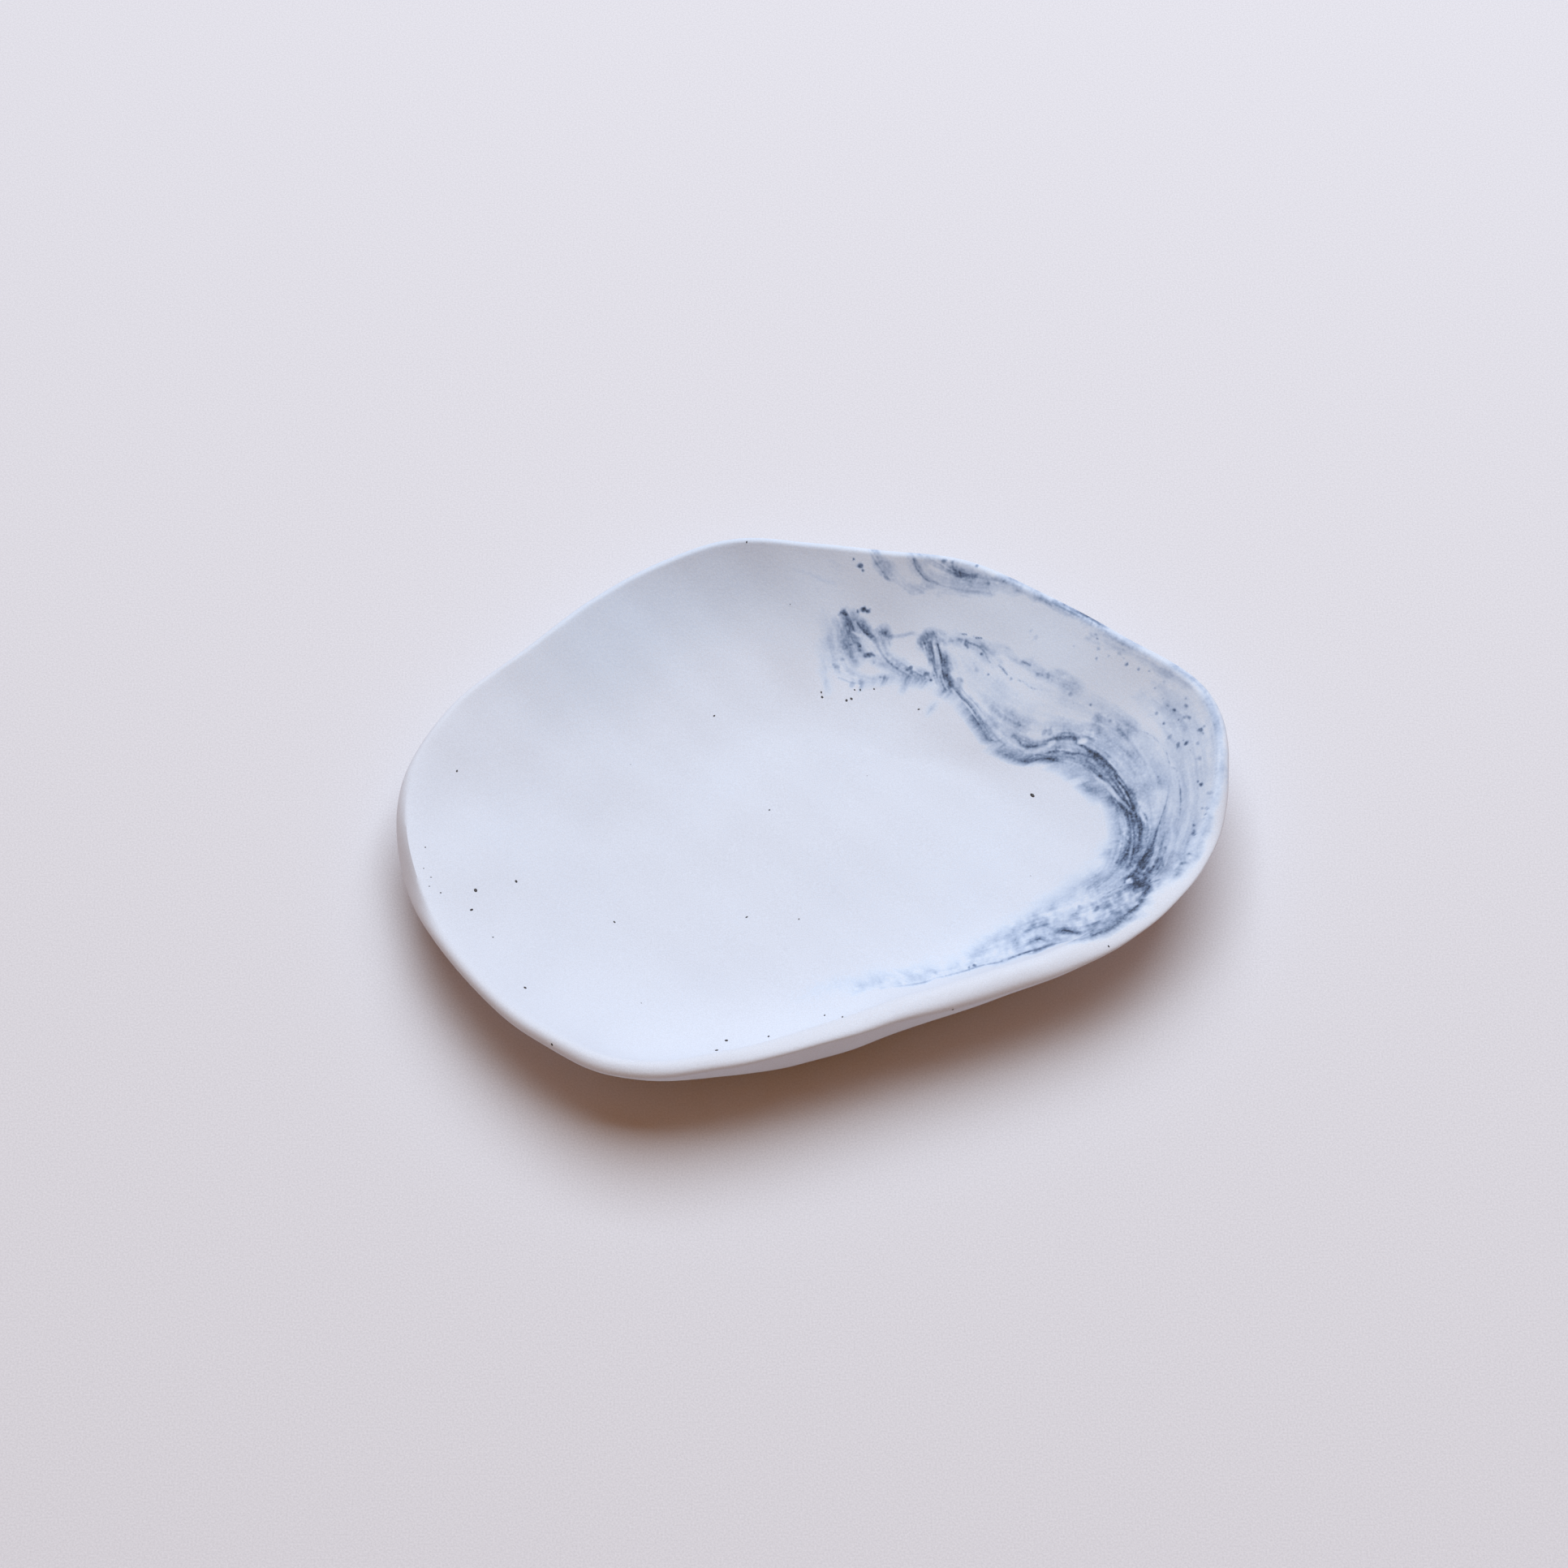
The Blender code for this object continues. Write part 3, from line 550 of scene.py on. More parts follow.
def nearest_on_line(line, x, y):
    """Distance from each place to the line, and how far along it the nearest point lies, from 0 to 1."""
    run = np.r_[0, np.cumsum(np.hypot(*np.diff(line, axis=0).T))]
    best = np.full(x.shape, 1e9)
    along = np.zeros(x.shape)
    for (ax, ay), (bx, by), r0, r1 in zip(line, line[1:], run, run[1:]):
        dx, dy = bx - ax, by - ay
        t = np.clip(((x - ax) * dx + (y - ay) * dy) / (dx * dx + dy * dy), 0, 1)
        d = np.hypot(x - ax - t * dx, y - ay - t * dy)
        closer = d < best
        best[closer] = d[closer]
        along[closer] = (r0 + t * (r1 - r0))[closer]
    return best, along / run[-1]


def spread(values, along):
    """Values that stand evenly along a line, at places between 0 and 1."""
    return np.interp(along, np.linspace(0, 1, len(values)), values)


def lay_strokes(strokes, wobble, hardness):
    """All strokes of one list on a sheet of 0 to 1. wobble is how far noise pushes their edges about."""
    layer = np.zeros(sheet_x.shape)
    push_x = wobble * WANDER[0]
    push_y = wobble * WANDER[1]
    for points, widths, darks in strokes.values():
        line = smooth_line(points)
        margin = max(widths) + 4 * wobble + 2
        low = (line.min(0) - margin - (SHEET_LEFT, SHEET_TOP)).astype(int).clip(0)
        high = (line.max(0) + margin - (SHEET_LEFT, SHEET_TOP)).astype(int).clip(0)
        part = (slice(low[1], high[1]), slice(low[0], high[0]))
        distance, along = nearest_on_line(line, sheet_x[part] + push_x[part], sheet_y[part] + push_y[part])
        edge = 1 - soft_step(hardness, 1, distance / spread(widths, along))
        layer[part] = 1 - (1 - layer[part]) * (1 - edge * spread(darks, along))
    return layer


DOT_WINDOW = 9                   # pixels to each side of a dot that it may darken
DOT_RAGGED = 0.30
DOT_CORE, DOT_END = 0.35, 1.55   # where its edge begins and ends, as shares of its half width


def lay_dots(dots):
    """All dots on a sheet of 0 to 1, with edges that are as ragged as the noise makes them."""
    layer = np.zeros(sheet_x.shape)
    for x, y, size, dark in dots:
        column, row = int(x - SHEET_LEFT), int(y - SHEET_TOP)
        part = tuple(slice(max(k - DOT_WINDOW, 0), k + DOT_WINDOW + 1) for k in (row, column))
        distance = np.hypot(sheet_x[part] - x, sheet_y[part] - y) * (1 + DOT_RAGGED * ragged[part])
        layer[part] = np.maximum(layer[part], dark * (1 - soft_step(DOT_CORE, DOT_END, distance / size)))
    return layer


# %% Which way the clay flowed
FLOW_STEP = 6            # the flow is worked out at every sixth pixel
FLOW_REACH = 5.0         # pixels within which one stroke rules the flow


def read_sheet(sheet, column, row):
    """Value of a sheet between its samples."""
    column = np.clip(column, 0, sheet.shape[1] - 1.001)
    row = np.clip(row, 0, sheet.shape[0] - 1.001)
    column, row = np.broadcast_arrays(column, row)
    c, r = column.astype(int), row.astype(int)
    s, t = column - c, row - r
    return ((sheet[r, c] * (1 - s) + sheet[r, c + 1] * s) * (1 - t)
        + (sheet[r + 1, c] * (1 - s) + sheet[r + 1, c + 1] * s) * t)


def flow_field():
    """Unit vectors of the flow at each pixel, from the directions of all strokes nearby."""
    x, y = sheet_x[::FLOW_STEP, ::FLOW_STEP], sheet_y[::FLOW_STEP, ::FLOW_STEP]
    double_cos, double_sin = np.zeros(x.shape), np.zeros(x.shape)
    for strokes, say in ((HAZE, 0.4), (BANDS, 1.0), (THREADS, 1.0)):
        for points, widths, darks in strokes.values():
            line = smooth_line(points, 3)
            middle = (line[1:] + line[:-1]) / 2
            step = np.diff(line, axis=0)
            for (mx, my), (sx, sy) in zip(middle, step):
                length = math.hypot(sx, sy)
                weight = say * length / ((x - mx) ** 2 + (y - my) ** 2 + FLOW_REACH ** 2) ** 1.5
                double_cos += weight * (sx * sx - sy * sy) / length ** 2
                double_sin += weight * 2 * sx * sy / length ** 2
    rows = np.arange(SHEET_HEIGHT) / FLOW_STEP
    columns = np.arange(SHEET_WIDTH) / FLOW_STEP
    fine_cos, fine_sin = (read_sheet(v, columns[None, :], rows[:, None]) for v in (double_cos, double_sin))
    angle = np.arctan2(fine_sin, fine_cos) / 2
    return np.cos(angle), np.sin(angle)


# %% Fibres: noise smeared along the flow
def comb(noise, reach, step=1.5):
    """Average of the noise along the flow through each pixel, reach pixels to each side."""
    total = noise.copy()
    for side in (1, -1):
        column, row = np.meshgrid(np.arange(SHEET_WIDTH, dtype=float), np.arange(SHEET_HEIGHT, dtype=float))
        last_x, last_y = side * flow_x, side * flow_y
        for walked in range(int(reach / step)):
            column = column + step * last_x
            row = row + step * last_y
            here_x = read_sheet(flow_x, column, row)
            here_y = read_sheet(flow_y, column, row)
            same_way = np.where(here_x * last_x + here_y * last_y < 0, -1, 1)
            last_x, last_y = here_x * same_way, here_y * same_way
            total += read_sheet(noise, column, row)
    return (total - total.mean()) / total.std()


WANDER = (smooth_noise(11, 14), smooth_noise(12, 14))
flow_x, flow_y = flow_field()
fine_fibre = comb(smooth_noise(13, 1.3), 20)
broad_fibre = comb(smooth_noise(14, 4.5), 40)
speckle = smooth_noise(15, 2.0)
ragged = smooth_noise(17, 3.4)
curds = smooth_noise(18, 4.2)
cloudiness = smooth_noise(16, 16)
print("fibres combed")

# %% [markdown]
# ### Where white clay ends the stain
# The floor's white clay ends in a clean curved edge against the stain, like a tongue. In front, the fold of
# the lip is white too and covers the stain's edge. Both are outlines in pixels, and each point of them also
# says how soft the edge is there: about 2 pixels beside the dark stem, where the two clays lie side by side,
# and over 20 at the tongue's far end, where they were smeared into each other.

# %% Outlines of the white clay: x, y and softness
TONGUE = [
    (1120, 862, 14), (1153, 849, 3), (1162, 854, 2), (1174, 866, 2), (1184, 876, 2), (1194, 889, 2),
    (1203, 903, 2), (1213, 917, 2), (1224, 928, 2), (1236, 937, 2), (1250, 942, 2.5), (1268, 943, 3),
    (1289, 943, 4), (1304, 954, 7), (1318, 964, 9), (1330, 975, 11), (1341, 986, 12), (1350, 998, 13),
    (1357, 1010, 15), (1362, 1024, 18), (1363, 1040, 20), (1357, 1058, 22), (1346, 1072, 24),
    (1330, 1086, 24), (1306, 1098, 24), (1280, 1116, 20), (1248, 1134, 16), (1216, 1154, 13),
    (1190, 1172, 12), (1130, 1190, 14), (1040, 1200, 18), (980, 1206, 22), (900, 1225, 30),
    (880, 900, 60), (985, 880, 30)]
FRONT_LIP = [
    (930, 1250, 8), (1040, 1232, 6), (1130, 1214, 4), (1180, 1202, 3), (1235, 1187, 3), (1302, 1167, 2.5),
    (1340, 1160, 2), (1371, 1151, 2), (1400, 1140, 2), (1416, 1132, 3), (1426, 1117, 4), (1446, 1095, 5),
    (1466, 1070, 7), (1488, 1045, 8), (1506, 1020, 9), (1560, 980, 9), (1560, 1300, 5), (930, 1300, 5)]


def stain_left(shape, wobble):
    """How much of the stain is left at each pixel: 0 on an outline's white clay, 1 well outside it."""
    outline = np.array(shape, float)
    closed = np.vstack([outline, outline[:1]])
    x, y = sheet_x + wobble * WANDER[0], sheet_y + wobble * WANDER[1]
    distance, along = nearest_on_line(closed[:, :2], x, y)
    run = np.r_[0, np.cumsum(np.hypot(*np.diff(closed[:, :2], axis=0).T))]
    softness = np.interp(along * run[-1], run, closed[:, 2])
    inside = np.zeros(x.shape, bool)
    for (ax, ay, _), (bx, by, _) in zip(closed, closed[1:]):
        inside ^= ((ay > y) != (by > y)) & (x < ax + (y - ay) * (bx - ax) / (by - ay + 1e-9))
    return soft_step(-1, 1, np.where(inside, -distance, distance) / softness)


# %% Put the layers together
CURDS_FROM, CURDS_FULL = 1085, 1125    # rows: near the front edge the stain is curdled, not combed
CURDS_ABOVE, CURDS_ADDED = 0.08, 0.22  # how much the curds count above those rows, and how much more below
MOST_CLOUD, MOST_COMBED = 0.9, 0.96    # the most stain that haze and bands may give


def made_uneven(layer, plain, low, high, *noises):
    """A layer times a plain share plus some weighted noises, whose sum is held between two limits."""
    share = plain
    for weight, noise in noises:
        share = share + weight * noise
    return layer * np.clip(share, low, high)


haze = lay_strokes(HAZE, wobble=3.0, hardness=0.1)
bands = lay_strokes(BANDS, wobble=1.4, hardness=0.15)
threads = lay_strokes(THREADS, wobble=0.8, hardness=0.1)
clear = lay_strokes(CLEAR, wobble=1.2, hardness=0.35)
dots = lay_dots(DOTS)
curdled = CURDS_ABOVE + CURDS_ADDED * soft_step(CURDS_FROM, CURDS_FULL, sheet_y)
cloud = made_uneven(
    haze, 0.95, 0.15, 1.8, (0.18, broad_fibre), (0.14, fine_fibre), (0.18, cloudiness), (curdled, curds),
    (0.10, speckle))
combed = made_uneven(bands, 0.90, 0.1, 1.35, (0.30, broad_fibre), (0.34, fine_fibre), (0.14, speckle))
hair = made_uneven(threads, 0.80, 0.05, 1.0, (0.30, fine_fibre), (0.26, speckle))
stain = 1 - (1 - np.clip(cloud, 0, MOST_CLOUD)) * (1 - np.clip(combed, 0, MOST_COMBED)) * (1 - hair)
stain = 1 - (1 - stain * (1 - clear) * stain_left(TONGUE, wobble=1.1)) * (1 - dots)
stain_behind_lip = np.clip(stain, 0, 1)
stain = stain_behind_lip * stain_left(FRONT_LIP, wobble=0.6)
print("stain: average %.3f, most %.3f" % (stain.mean(), stain.max()))

# %% [markdown]
# ## One grid for both clays
# White body and marbled face are one smooth surface on the real dish, so no step or crack may show where
# they meet. Two meshes made apart would never quite meet. Here both are cut from one grid of columns round
# the dish and rows from the centre to the foot below, and they share the points along their seam. Columns
# stand closer where the marbling is, because its hairlines need a point about every 0.2 mm, and every fourth
# column is enough for the floor and the outside.

# %% Columns round the dish, and the seam between the clays
INLAY_FROM, INLAY_TO = -62.0, 92.0     # degrees
FINE_COLUMNS, WIDE_COLUMNS = 768, 512
SKIP = 4                               # only every fourth column is drawn on plain clay
INLAY_THICKNESS, POCKET_DEPTH = 0.8, 0.9           # mm
RIM_INSET = 0.9                        # mm from the table's rim to the marbled clay's outer edge
INLAY_ROWS_PER_ROW = 3                 # rows of the marbled face for each row of the body

fine_columns = np.linspace(INLAY_FROM, INLAY_TO, FINE_COLUMNS + 1)
wide_columns = np.linspace(INLAY_TO, 360 + INLAY_FROM, WIDE_COLUMNS + 1)
columns = np.r_[fine_columns, wide_columns[1:-1]]
COLUMNS = len(columns)

# Inner edge of the marbled clay, in degrees and mm from the centre; beyond its ends it only guides the grid.
SEAM = np.array([
    (-62, 34), (-46, 34.5), (-32, 36), (-18, 43), (-7, 49), (4, 48), (12, 44), (19, 37), (28, 32.5),
    (45, 33), (59, 31.5), (69, 28.5), (78, 25), (86, 25.5), (92, 30), (110, 28), (140, 28), (180, 36),
    (220, 34), (260, 28), (290, 31)])
WALL_END_SHARE = 0.93                  # where the rows of the rim begin on plain clay
WALL_END_FADE = 18.0                   # degrees over which they move there

trial_shares = np.linspace(-1, 1, 801)
trial_radius = wall_middle(columns[:, None], trial_shares[None, :])[0]
seam_radius = np.interp(columns, SEAM[:, 0], SEAM[:, 1], period=360)
rim_radius = round_table(RIM, columns)[:, 0] - RIM_INSET
seam_share = np.array([np.interp(r, row, trial_shares) for r, row in zip(seam_radius, trial_radius)])
rim_share = np.array([np.interp(r, row, trial_shares) for r, row in zip(rim_radius, trial_radius)])
beyond = slice(FINE_COLUMNS + 1, None)
rim_share[beyond] = np.interp(
    columns[beyond],
    [INLAY_TO, INLAY_TO + WALL_END_FADE, 360 + INLAY_FROM - WALL_END_FADE, 360 + INLAY_FROM],
    [rim_share[FINE_COLUMNS], WALL_END_SHARE, WALL_END_SHARE, rim_share[0]])
print(COLUMNS, "columns; seam at shares", seam_share.min().round(2), "to", seam_share.max().round(2))


# %% Rows from the middle of the floor, over the lip, to the middle of the foot
FLOOR_ROWS, BAND_ROWS, RIM_ROWS, LIP_ROWS, OUTSIDE_ROWS, FOOT_ROWS = 26, 36, 6, 12, 24, 6
FIRST_RING = 0.04
every = slice(None, None, SKIP)


def rows_between(start, end, count, from_start=False):
    """Shares of some rows between two curves, one of them counted already."""
    parts = np.linspace(0, 1, count + 1)[0 if from_start else 1:]
    return start + (end - start) * parts[:, None]


floor_shares = rows_between(FIRST_RING * (seam_share + 1) - 1, seam_share, FLOOR_ROWS, True)[:-1, every]
band_shares = rows_between(seam_share, rim_share, BAND_ROWS, True)
rim_shares = rows_between(rim_share, np.ones(COLUMNS), RIM_ROWS)
outside_shares = rows_between(np.ones(COLUMNS), np.zeros(COLUMNS), OUTSIDE_ROWS)[:, every]
foot_shares = rows_between(np.zeros(COLUMNS), np.full(COLUMNS, FIRST_RING - 1), FOOT_ROWS)[:, every]
lip_arcs = np.linspace(1, 0, LIP_ROWS + 1)[1:, None]

few = columns[every]
floor_points = clay_point(few, floor_shares, 1)
band_points = clay_point(columns, band_shares, 1)
rim_points = clay_point(columns, rim_shares, 1)
lip_points = clay_point(columns, np.ones(COLUMNS), 1, lip_arcs)
outside_points = clay_point(few, outside_shares, -1)
foot_points = clay_point(few, foot_shares, -1)

# The table above has its own middle. The frame says where the dish really stands.
outline = np.vstack([lip_points.reshape(-1, 3), outside_points.reshape(-1, 3)])[:, :2]
frame_middle = (np.array(body_low[:2]) + np.array(body_high[:2])) / 2 / MM
plan_shift = np.array([*(frame_middle - (outline.min(0) + outline.max(0)) / 2), 0])
print("plan shift, mm:", plan_shift.round(3))


# %% A small mesh builder
SHARP_FROM = math.radians(45)


class Shell:
    """Collects points in rows and faces between them, and keeps what each point carries."""

    def __init__(self):
        self.points, self.stains, self.crests, self.faces = [], [], [], []

    def row_block(self, points, stain, crest):
        """Adds a block of points in mm; gives their numbers in the same layout."""
        start = sum(len(p) for p in self.points)
        flat = points.reshape(-1, 3)
        self.points.append(flat)
        self.stains.append(np.broadcast_to(stain, points.shape[:2]).ravel())
        self.crests.append(np.broadcast_to(crest, points.shape[:2]).ravel())
        return np.arange(start, start + len(flat)).reshape(points.shape[:2])

    def quads(self, numbers, closed=False, flip=False):
        """Faces between neighbouring rows and columns of a block."""
        if closed:
            numbers = np.hstack([numbers, numbers[:, :1]])
        a, b = numbers[:-1, :-1], numbers[1:, :-1]
        c, d = numbers[1:, 1:], numbers[:-1, 1:]
        order = (a, d, c, b) if flip else (a, b, c, d)
        self.faces += np.stack(order, -1).reshape(-1, 4).tolist()

    def step_down(self, many, few, flip=False):
        """Triangles that join a dense line of points to one with fewer points."""
        count = (len(many) - 1) // (len(few) - 1)
        middle = count // 2
        for k in range(len(few) - 1):
            dense = many[k * count:(k + 1) * count + 1].tolist()
            near, far = int(few[k]), int(few[k + 1])
            made = [(a, b, near if j < middle else far) for j, (a, b) in enumerate(zip(dense, dense[1:]))]
            made.append((dense[middle], far, near))
            self.faces += [face[::-1] if flip else face for face in made]

    def make(self, name):
        """The mesh object of all that was collected, with a print of its size."""
        points = (np.vstack(self.points) + plan_shift) * MM
        mesh = bpy.data.meshes.new(name)
        mesh.from_pydata(points, [], self.faces)
        for label, values in (("stain", self.stains), ("crest", self.crests)):
            layer = mesh.attributes.new(label, "FLOAT", "POINT")
            layer.data.foreach_set("value", np.concatenate(values).astype(np.float32))
        mesh.shade_smooth()
        mesh.set_sharp_from_angle(angle=SHARP_FROM)
        made = bpy.data.objects.new(name, mesh)
        bpy.context.scene.collection.objects.link(made)
        check = bmesh.new()
        check.from_mesh(mesh)
        open_edges = sum(not edge.is_manifold for edge in check.edges)
        print(name, len(mesh.vertices), "points,", sum(len(f) - 2 for f in self.faces), "triangles,",
            open_edges, "open edges,", round(check.calc_volume(signed=True) / MM ** 3), "cubic mm")
        check.free()
        return made


# %% What the sheet of stain says at each point of the clay, with painted shade on the back wall
POCKET_STAIN = 0.2              # under the marbled face, where nobody sees it
SHEET_FADE = 12                 # pixels over which the stain fades out at the sheet's edge
BACK_WALL_PAINTED_SHADE = 0.10                    # painted bluish shade on the back wall, which faces away from the window
PAINTED_SHADE_HEIGHT = (5, 13)          # mm above the table between which the painted shade sets in
PAINTED_SHADE_BACK = (4, 26)            # mm behind the middle between which it sets in
PAINTED_SHADE_LEFT = (560, 760)         # columns of the photograph between which it sets in
PAINTED_SHADE_EASES = (980, 1080)       # columns between which it falls by a quarter


def facing_camera(points):
    """How squarely each point of a block faces the camera, from its neighbours in rows and columns."""
    down, across = np.gradient(points, axis=0), np.gradient(points, axis=1)
    normal = np.cross(down, across)
    return -(normal @ sight) / np.linalg.norm(normal, axis=-1)


def stain_and_shade_at(points, sheet=stain):
    """Stain at points in mm, read from the sheet at the pixel in which the camera sees each of them, with
    painted bluish shade added on the back wall.
    """
    column, row = photo_pixel((points + plan_shift) * MM)
    # Painted shade: a trace of blue stain on the back wall stands in for the cool shade that falls there.
    shaded_back_wall = soft_step(*PAINTED_SHADE_HEIGHT, points[..., 2]) * soft_step(*PAINTED_SHADE_BACK, points[..., 1])
    painted_shade = BACK_WALL_PAINTED_SHADE * shaded_back_wall * (1 - 0.25 * soft_step(*PAINTED_SHADE_EASES, column)) * soft_step(*PAINTED_SHADE_LEFT, column)
    column, row = column - SHEET_LEFT, row - SHEET_TOP
    edge = np.minimum(np.minimum(column, SHEET_WIDTH - 1 - column), np.minimum(row, SHEET_HEIGHT - 1 - row))
    return np.maximum(read_sheet(sheet, column, row) * soft_step(0, SHEET_FADE, edge), painted_shade)


HIDDEN_BELOW, SHOWN_FROM = 0.02, 0.22    # how squarely clay faces the camera
DIES_FROM, GONE_AT = 0.5, 0.95           # shares of the marbled face's width, from the seam to the rim


def inlay_stain_and_shade(points):
    """The same on the marbled face. Where the front wall hides it, the stain runs on and dies out upwards."""
    shown = soft_step(HIDDEN_BELOW, SHOWN_FROM, facing_camera(points))
    upwards = np.linspace(0, 1, len(points))[:, None]
    hidden = stain_and_shade_at(points, stain_behind_lip) * (1 - soft_step(DIES_FROM, GONE_AT, upwards))
    return stain_and_shade_at(points) * shown + hidden * (1 - shown)


# %% [markdown]
# ### The white body
# The body carries the floor, the rim, the outside and the foot, with a shallow pocket where the marbled clay
# lies. On the real dish there is no pocket: the two clays fused in the kiln. It is kept here because the
# marbled clay is a piece of its own that a maker may swap, and because both meshes can then be closed solids.
# On the lip the stain fades out towards the outside, and in front it stops at the inner edge of the fold, as
# in the photograph.

# %% Build the white body
FRONT_FROM, FRONT_TO = 270.0, 345.0    # degrees: the broad fold of the lip is nearly free of stain here
FRONT_SOFT = 12                        # degrees to each side of those over which that sets in
FADE_ON_LIP = 0.35                     # share of the lip's round over which the stain fades
FADE_FROM, FADE_LATER = 0.05, 0.35     # where on that round this begins, and how much later in front
RIM_CREST = 0.3                        # wear and painted highlight of the inner face where it meets the lip; the crest's own is 1

into_front = np.minimum(columns % 360 - FRONT_FROM, FRONT_TO - columns % 360)
front_share = soft_step(-FRONT_SOFT, FRONT_SOFT, into_front)
fade_start = FADE_FROM + FADE_LATER * front_share
lip_fade = soft_step(fade_start, fade_start + FADE_ON_LIP, lip_arcs)
# The crest carries both the lip's wear, as smoother clay, and a painted highlight that makes it lighter.
crest_of_lip = np.sin(math.pi * lip_arcs) ** 2

body = Shell()
floor = body.row_block(floor_points, stain_and_shade_at(floor_points), 0)
band = body.row_block(band_points, stain_and_shade_at(band_points), 0)
rim = body.row_block(rim_points, stain_and_shade_at(rim_points), np.linspace(0, RIM_CREST, RIM_ROWS)[:, None])
lip = body.row_block(lip_points, stain_and_shade_at(lip_points) * lip_fade, crest_of_lip)
outside = body.row_block(outside_points, 0, 0)
foot = body.row_block(foot_points, 0, 0)


def closed_line(line):
    """A line of point numbers that ends where it began."""
    return np.r_[line, line[:1]]


wide_span = slice(FINE_COLUMNS, None)
body.quads(floor, closed=True)
body.step_down(closed_line(band[0]), closed_line(floor[-1]), flip=True)
body.quads(np.hstack([band[:, wide_span], band[:, :1]]))
body.quads(np.vstack([band[-1:], rim, lip]), closed=True)
body.step_down(closed_line(lip[-1]), closed_line(outside[0]))
body.quads(np.vstack([outside, foot]), closed=True)
body.faces.append(floor[0].tolist())
body.faces.append(foot[-1][::-1].tolist())

# The pocket: a coarse floor below the seam, and walls up to it.
ROWS_PER_STEP = 3
pocket_shares = band_shares[::ROWS_PER_STEP, :FINE_COLUMNS + 1:SKIP]
pocket_columns = fine_columns[every]
thickness = wall_middle(pocket_columns, pocket_shares)[4]
pocket_points = clay_point(pocket_columns, pocket_shares, 1 - 2 * POCKET_DEPTH / thickness)
pocket = body.row_block(pocket_points, POCKET_STAIN, 0)
fine_span = slice(0, FINE_COLUMNS + 1)
body.quads(pocket)
body.step_down(band[0, fine_span], pocket[0])
body.step_down(band[-1, fine_span], pocket[-1], flip=True)
body.step_down(band[:, 0], pocket[:, 0], flip=True)
body.step_down(band[:, FINE_COLUMNS], pocket[:, -1])
white_body = body.make("white_body")

# %% [markdown]
# ### The marbled face
# The stained clay is a sheet 0.8 mm thick, rolled into the wall. Its upper face is the dish's own
# inner face, on the same columns and on rows three times as close as the body's. Its underside isn't seen and
# is drawn with few faces, a tenth of a millimetre clear of the pocket.

# %% Build the marbled face
DRAW_IN = 0.01           # how far the underside keeps inside the pocket's walls, as a share of its width
INLAY_ROWS = BAND_ROWS * INLAY_ROWS_PER_ROW
fine_seam, fine_rim = seam_share[fine_span], rim_share[fine_span]
face_shares = rows_between(fine_seam, fine_rim, INLAY_ROWS, True)
face_points = clay_point(fine_columns, face_shares, 1)

under_width = np.linspace(DRAW_IN / 2, 1 - DRAW_IN / 2, FINE_COLUMNS // SKIP + 1)
under_columns = INLAY_FROM + (INLAY_TO - INLAY_FROM) * under_width
under_seam = np.interp(under_columns, fine_columns, fine_seam)
under_rim = np.interp(under_columns, fine_columns, fine_rim)
inset = DRAW_IN * (under_rim - under_seam)
under_shares = rows_between(under_seam + inset, under_rim - inset, BAND_ROWS // ROWS_PER_STEP, True)
thickness = wall_middle(under_columns, under_shares)[4]
under_points = clay_point(under_columns, under_shares, 1 - 2 * INLAY_THICKNESS / thickness)

inlay = Shell()
face = inlay.row_block(face_points, inlay_stain_and_shade(face_points), 0)
under = inlay.row_block(under_points, POCKET_STAIN, 0)
inlay.quads(face)
inlay.quads(under, flip=True)
inlay.step_down(face[0], under[0])
inlay.step_down(face[-1], under[-1], flip=True)
inlay.step_down(face[:, 0], under[:, 0], flip=True)
inlay.step_down(face[:, -1], under[:, -1])
marbled_face = inlay.make("marbled_face")

# %% [markdown]
# ## The clay as a material
# Unglazed porcelain is matt and fine-grained, with a faint mottle where it was damp longest. Both clays are
# the same porcelain, one with stain in it, so both materials use two shared node groups: one turns the
# amount of stain into a colour and adds a painted highlight on the crest of the lip, and one gives the grain
# of the surface. The stain itself is an attribute on the mesh, so the pattern stays on the clay from every
# side; on the back wall it also holds a painted bluish shade.

# %% Helpers that add and join nodes
def add_node(tree, kind, links=None, **settings):
    """A node of a kind, with its settings, and with links or plain values for its inputs."""
    node = tree.nodes.new(kind)
    for key, value in settings.items():
        setattr(node, key, value)
    for key, value in (links or {}).items():
        if isinstance(value, bpy.types.NodeSocket):
            tree.links.new(value, node.inputs[key])
        else:
            node.inputs[key].default_value = value
    return node


def noise_node(tree, place, scale, detail):
    """Noise over a piece's own coordinates."""
    links = {"Vector": place.outputs["Object"], "Scale": scale, "Detail": detail}
    return add_node(tree, "ShaderNodeTexNoise", links)


def math_node(tree, operation, *values, **settings):
    """The result of one sum, from links or plain numbers."""
    node = add_node(tree, "ShaderNodeMath", dict(enumerate(values)), operation=operation, **settings)
    return node.outputs[0]


def bump_node(tree, height, strength):
    """A relief 0.05 mm deep at full strength."""
    links = {"Height": height, "Strength": strength, "Distance": 0.05 * MM}
    return add_node(tree, "ShaderNodeBump", links)


def new_group(name, inputs, outputs):
    """An empty shader node group with named sockets; gives the group, its input node and its output node."""
    group = bpy.data.node_groups.new(name, "ShaderNodeTree")
    for label, value in inputs:
        socket = group.interface.new_socket(label, in_out="INPUT", socket_type="NodeSocketFloat")
        socket.default_value = value
    for label, kind in outputs:
        group.interface.new_socket(label, in_out="OUTPUT", socket_type=kind)
    return group, group.nodes.new("NodeGroupInput"), group.nodes.new("NodeGroupOutput")


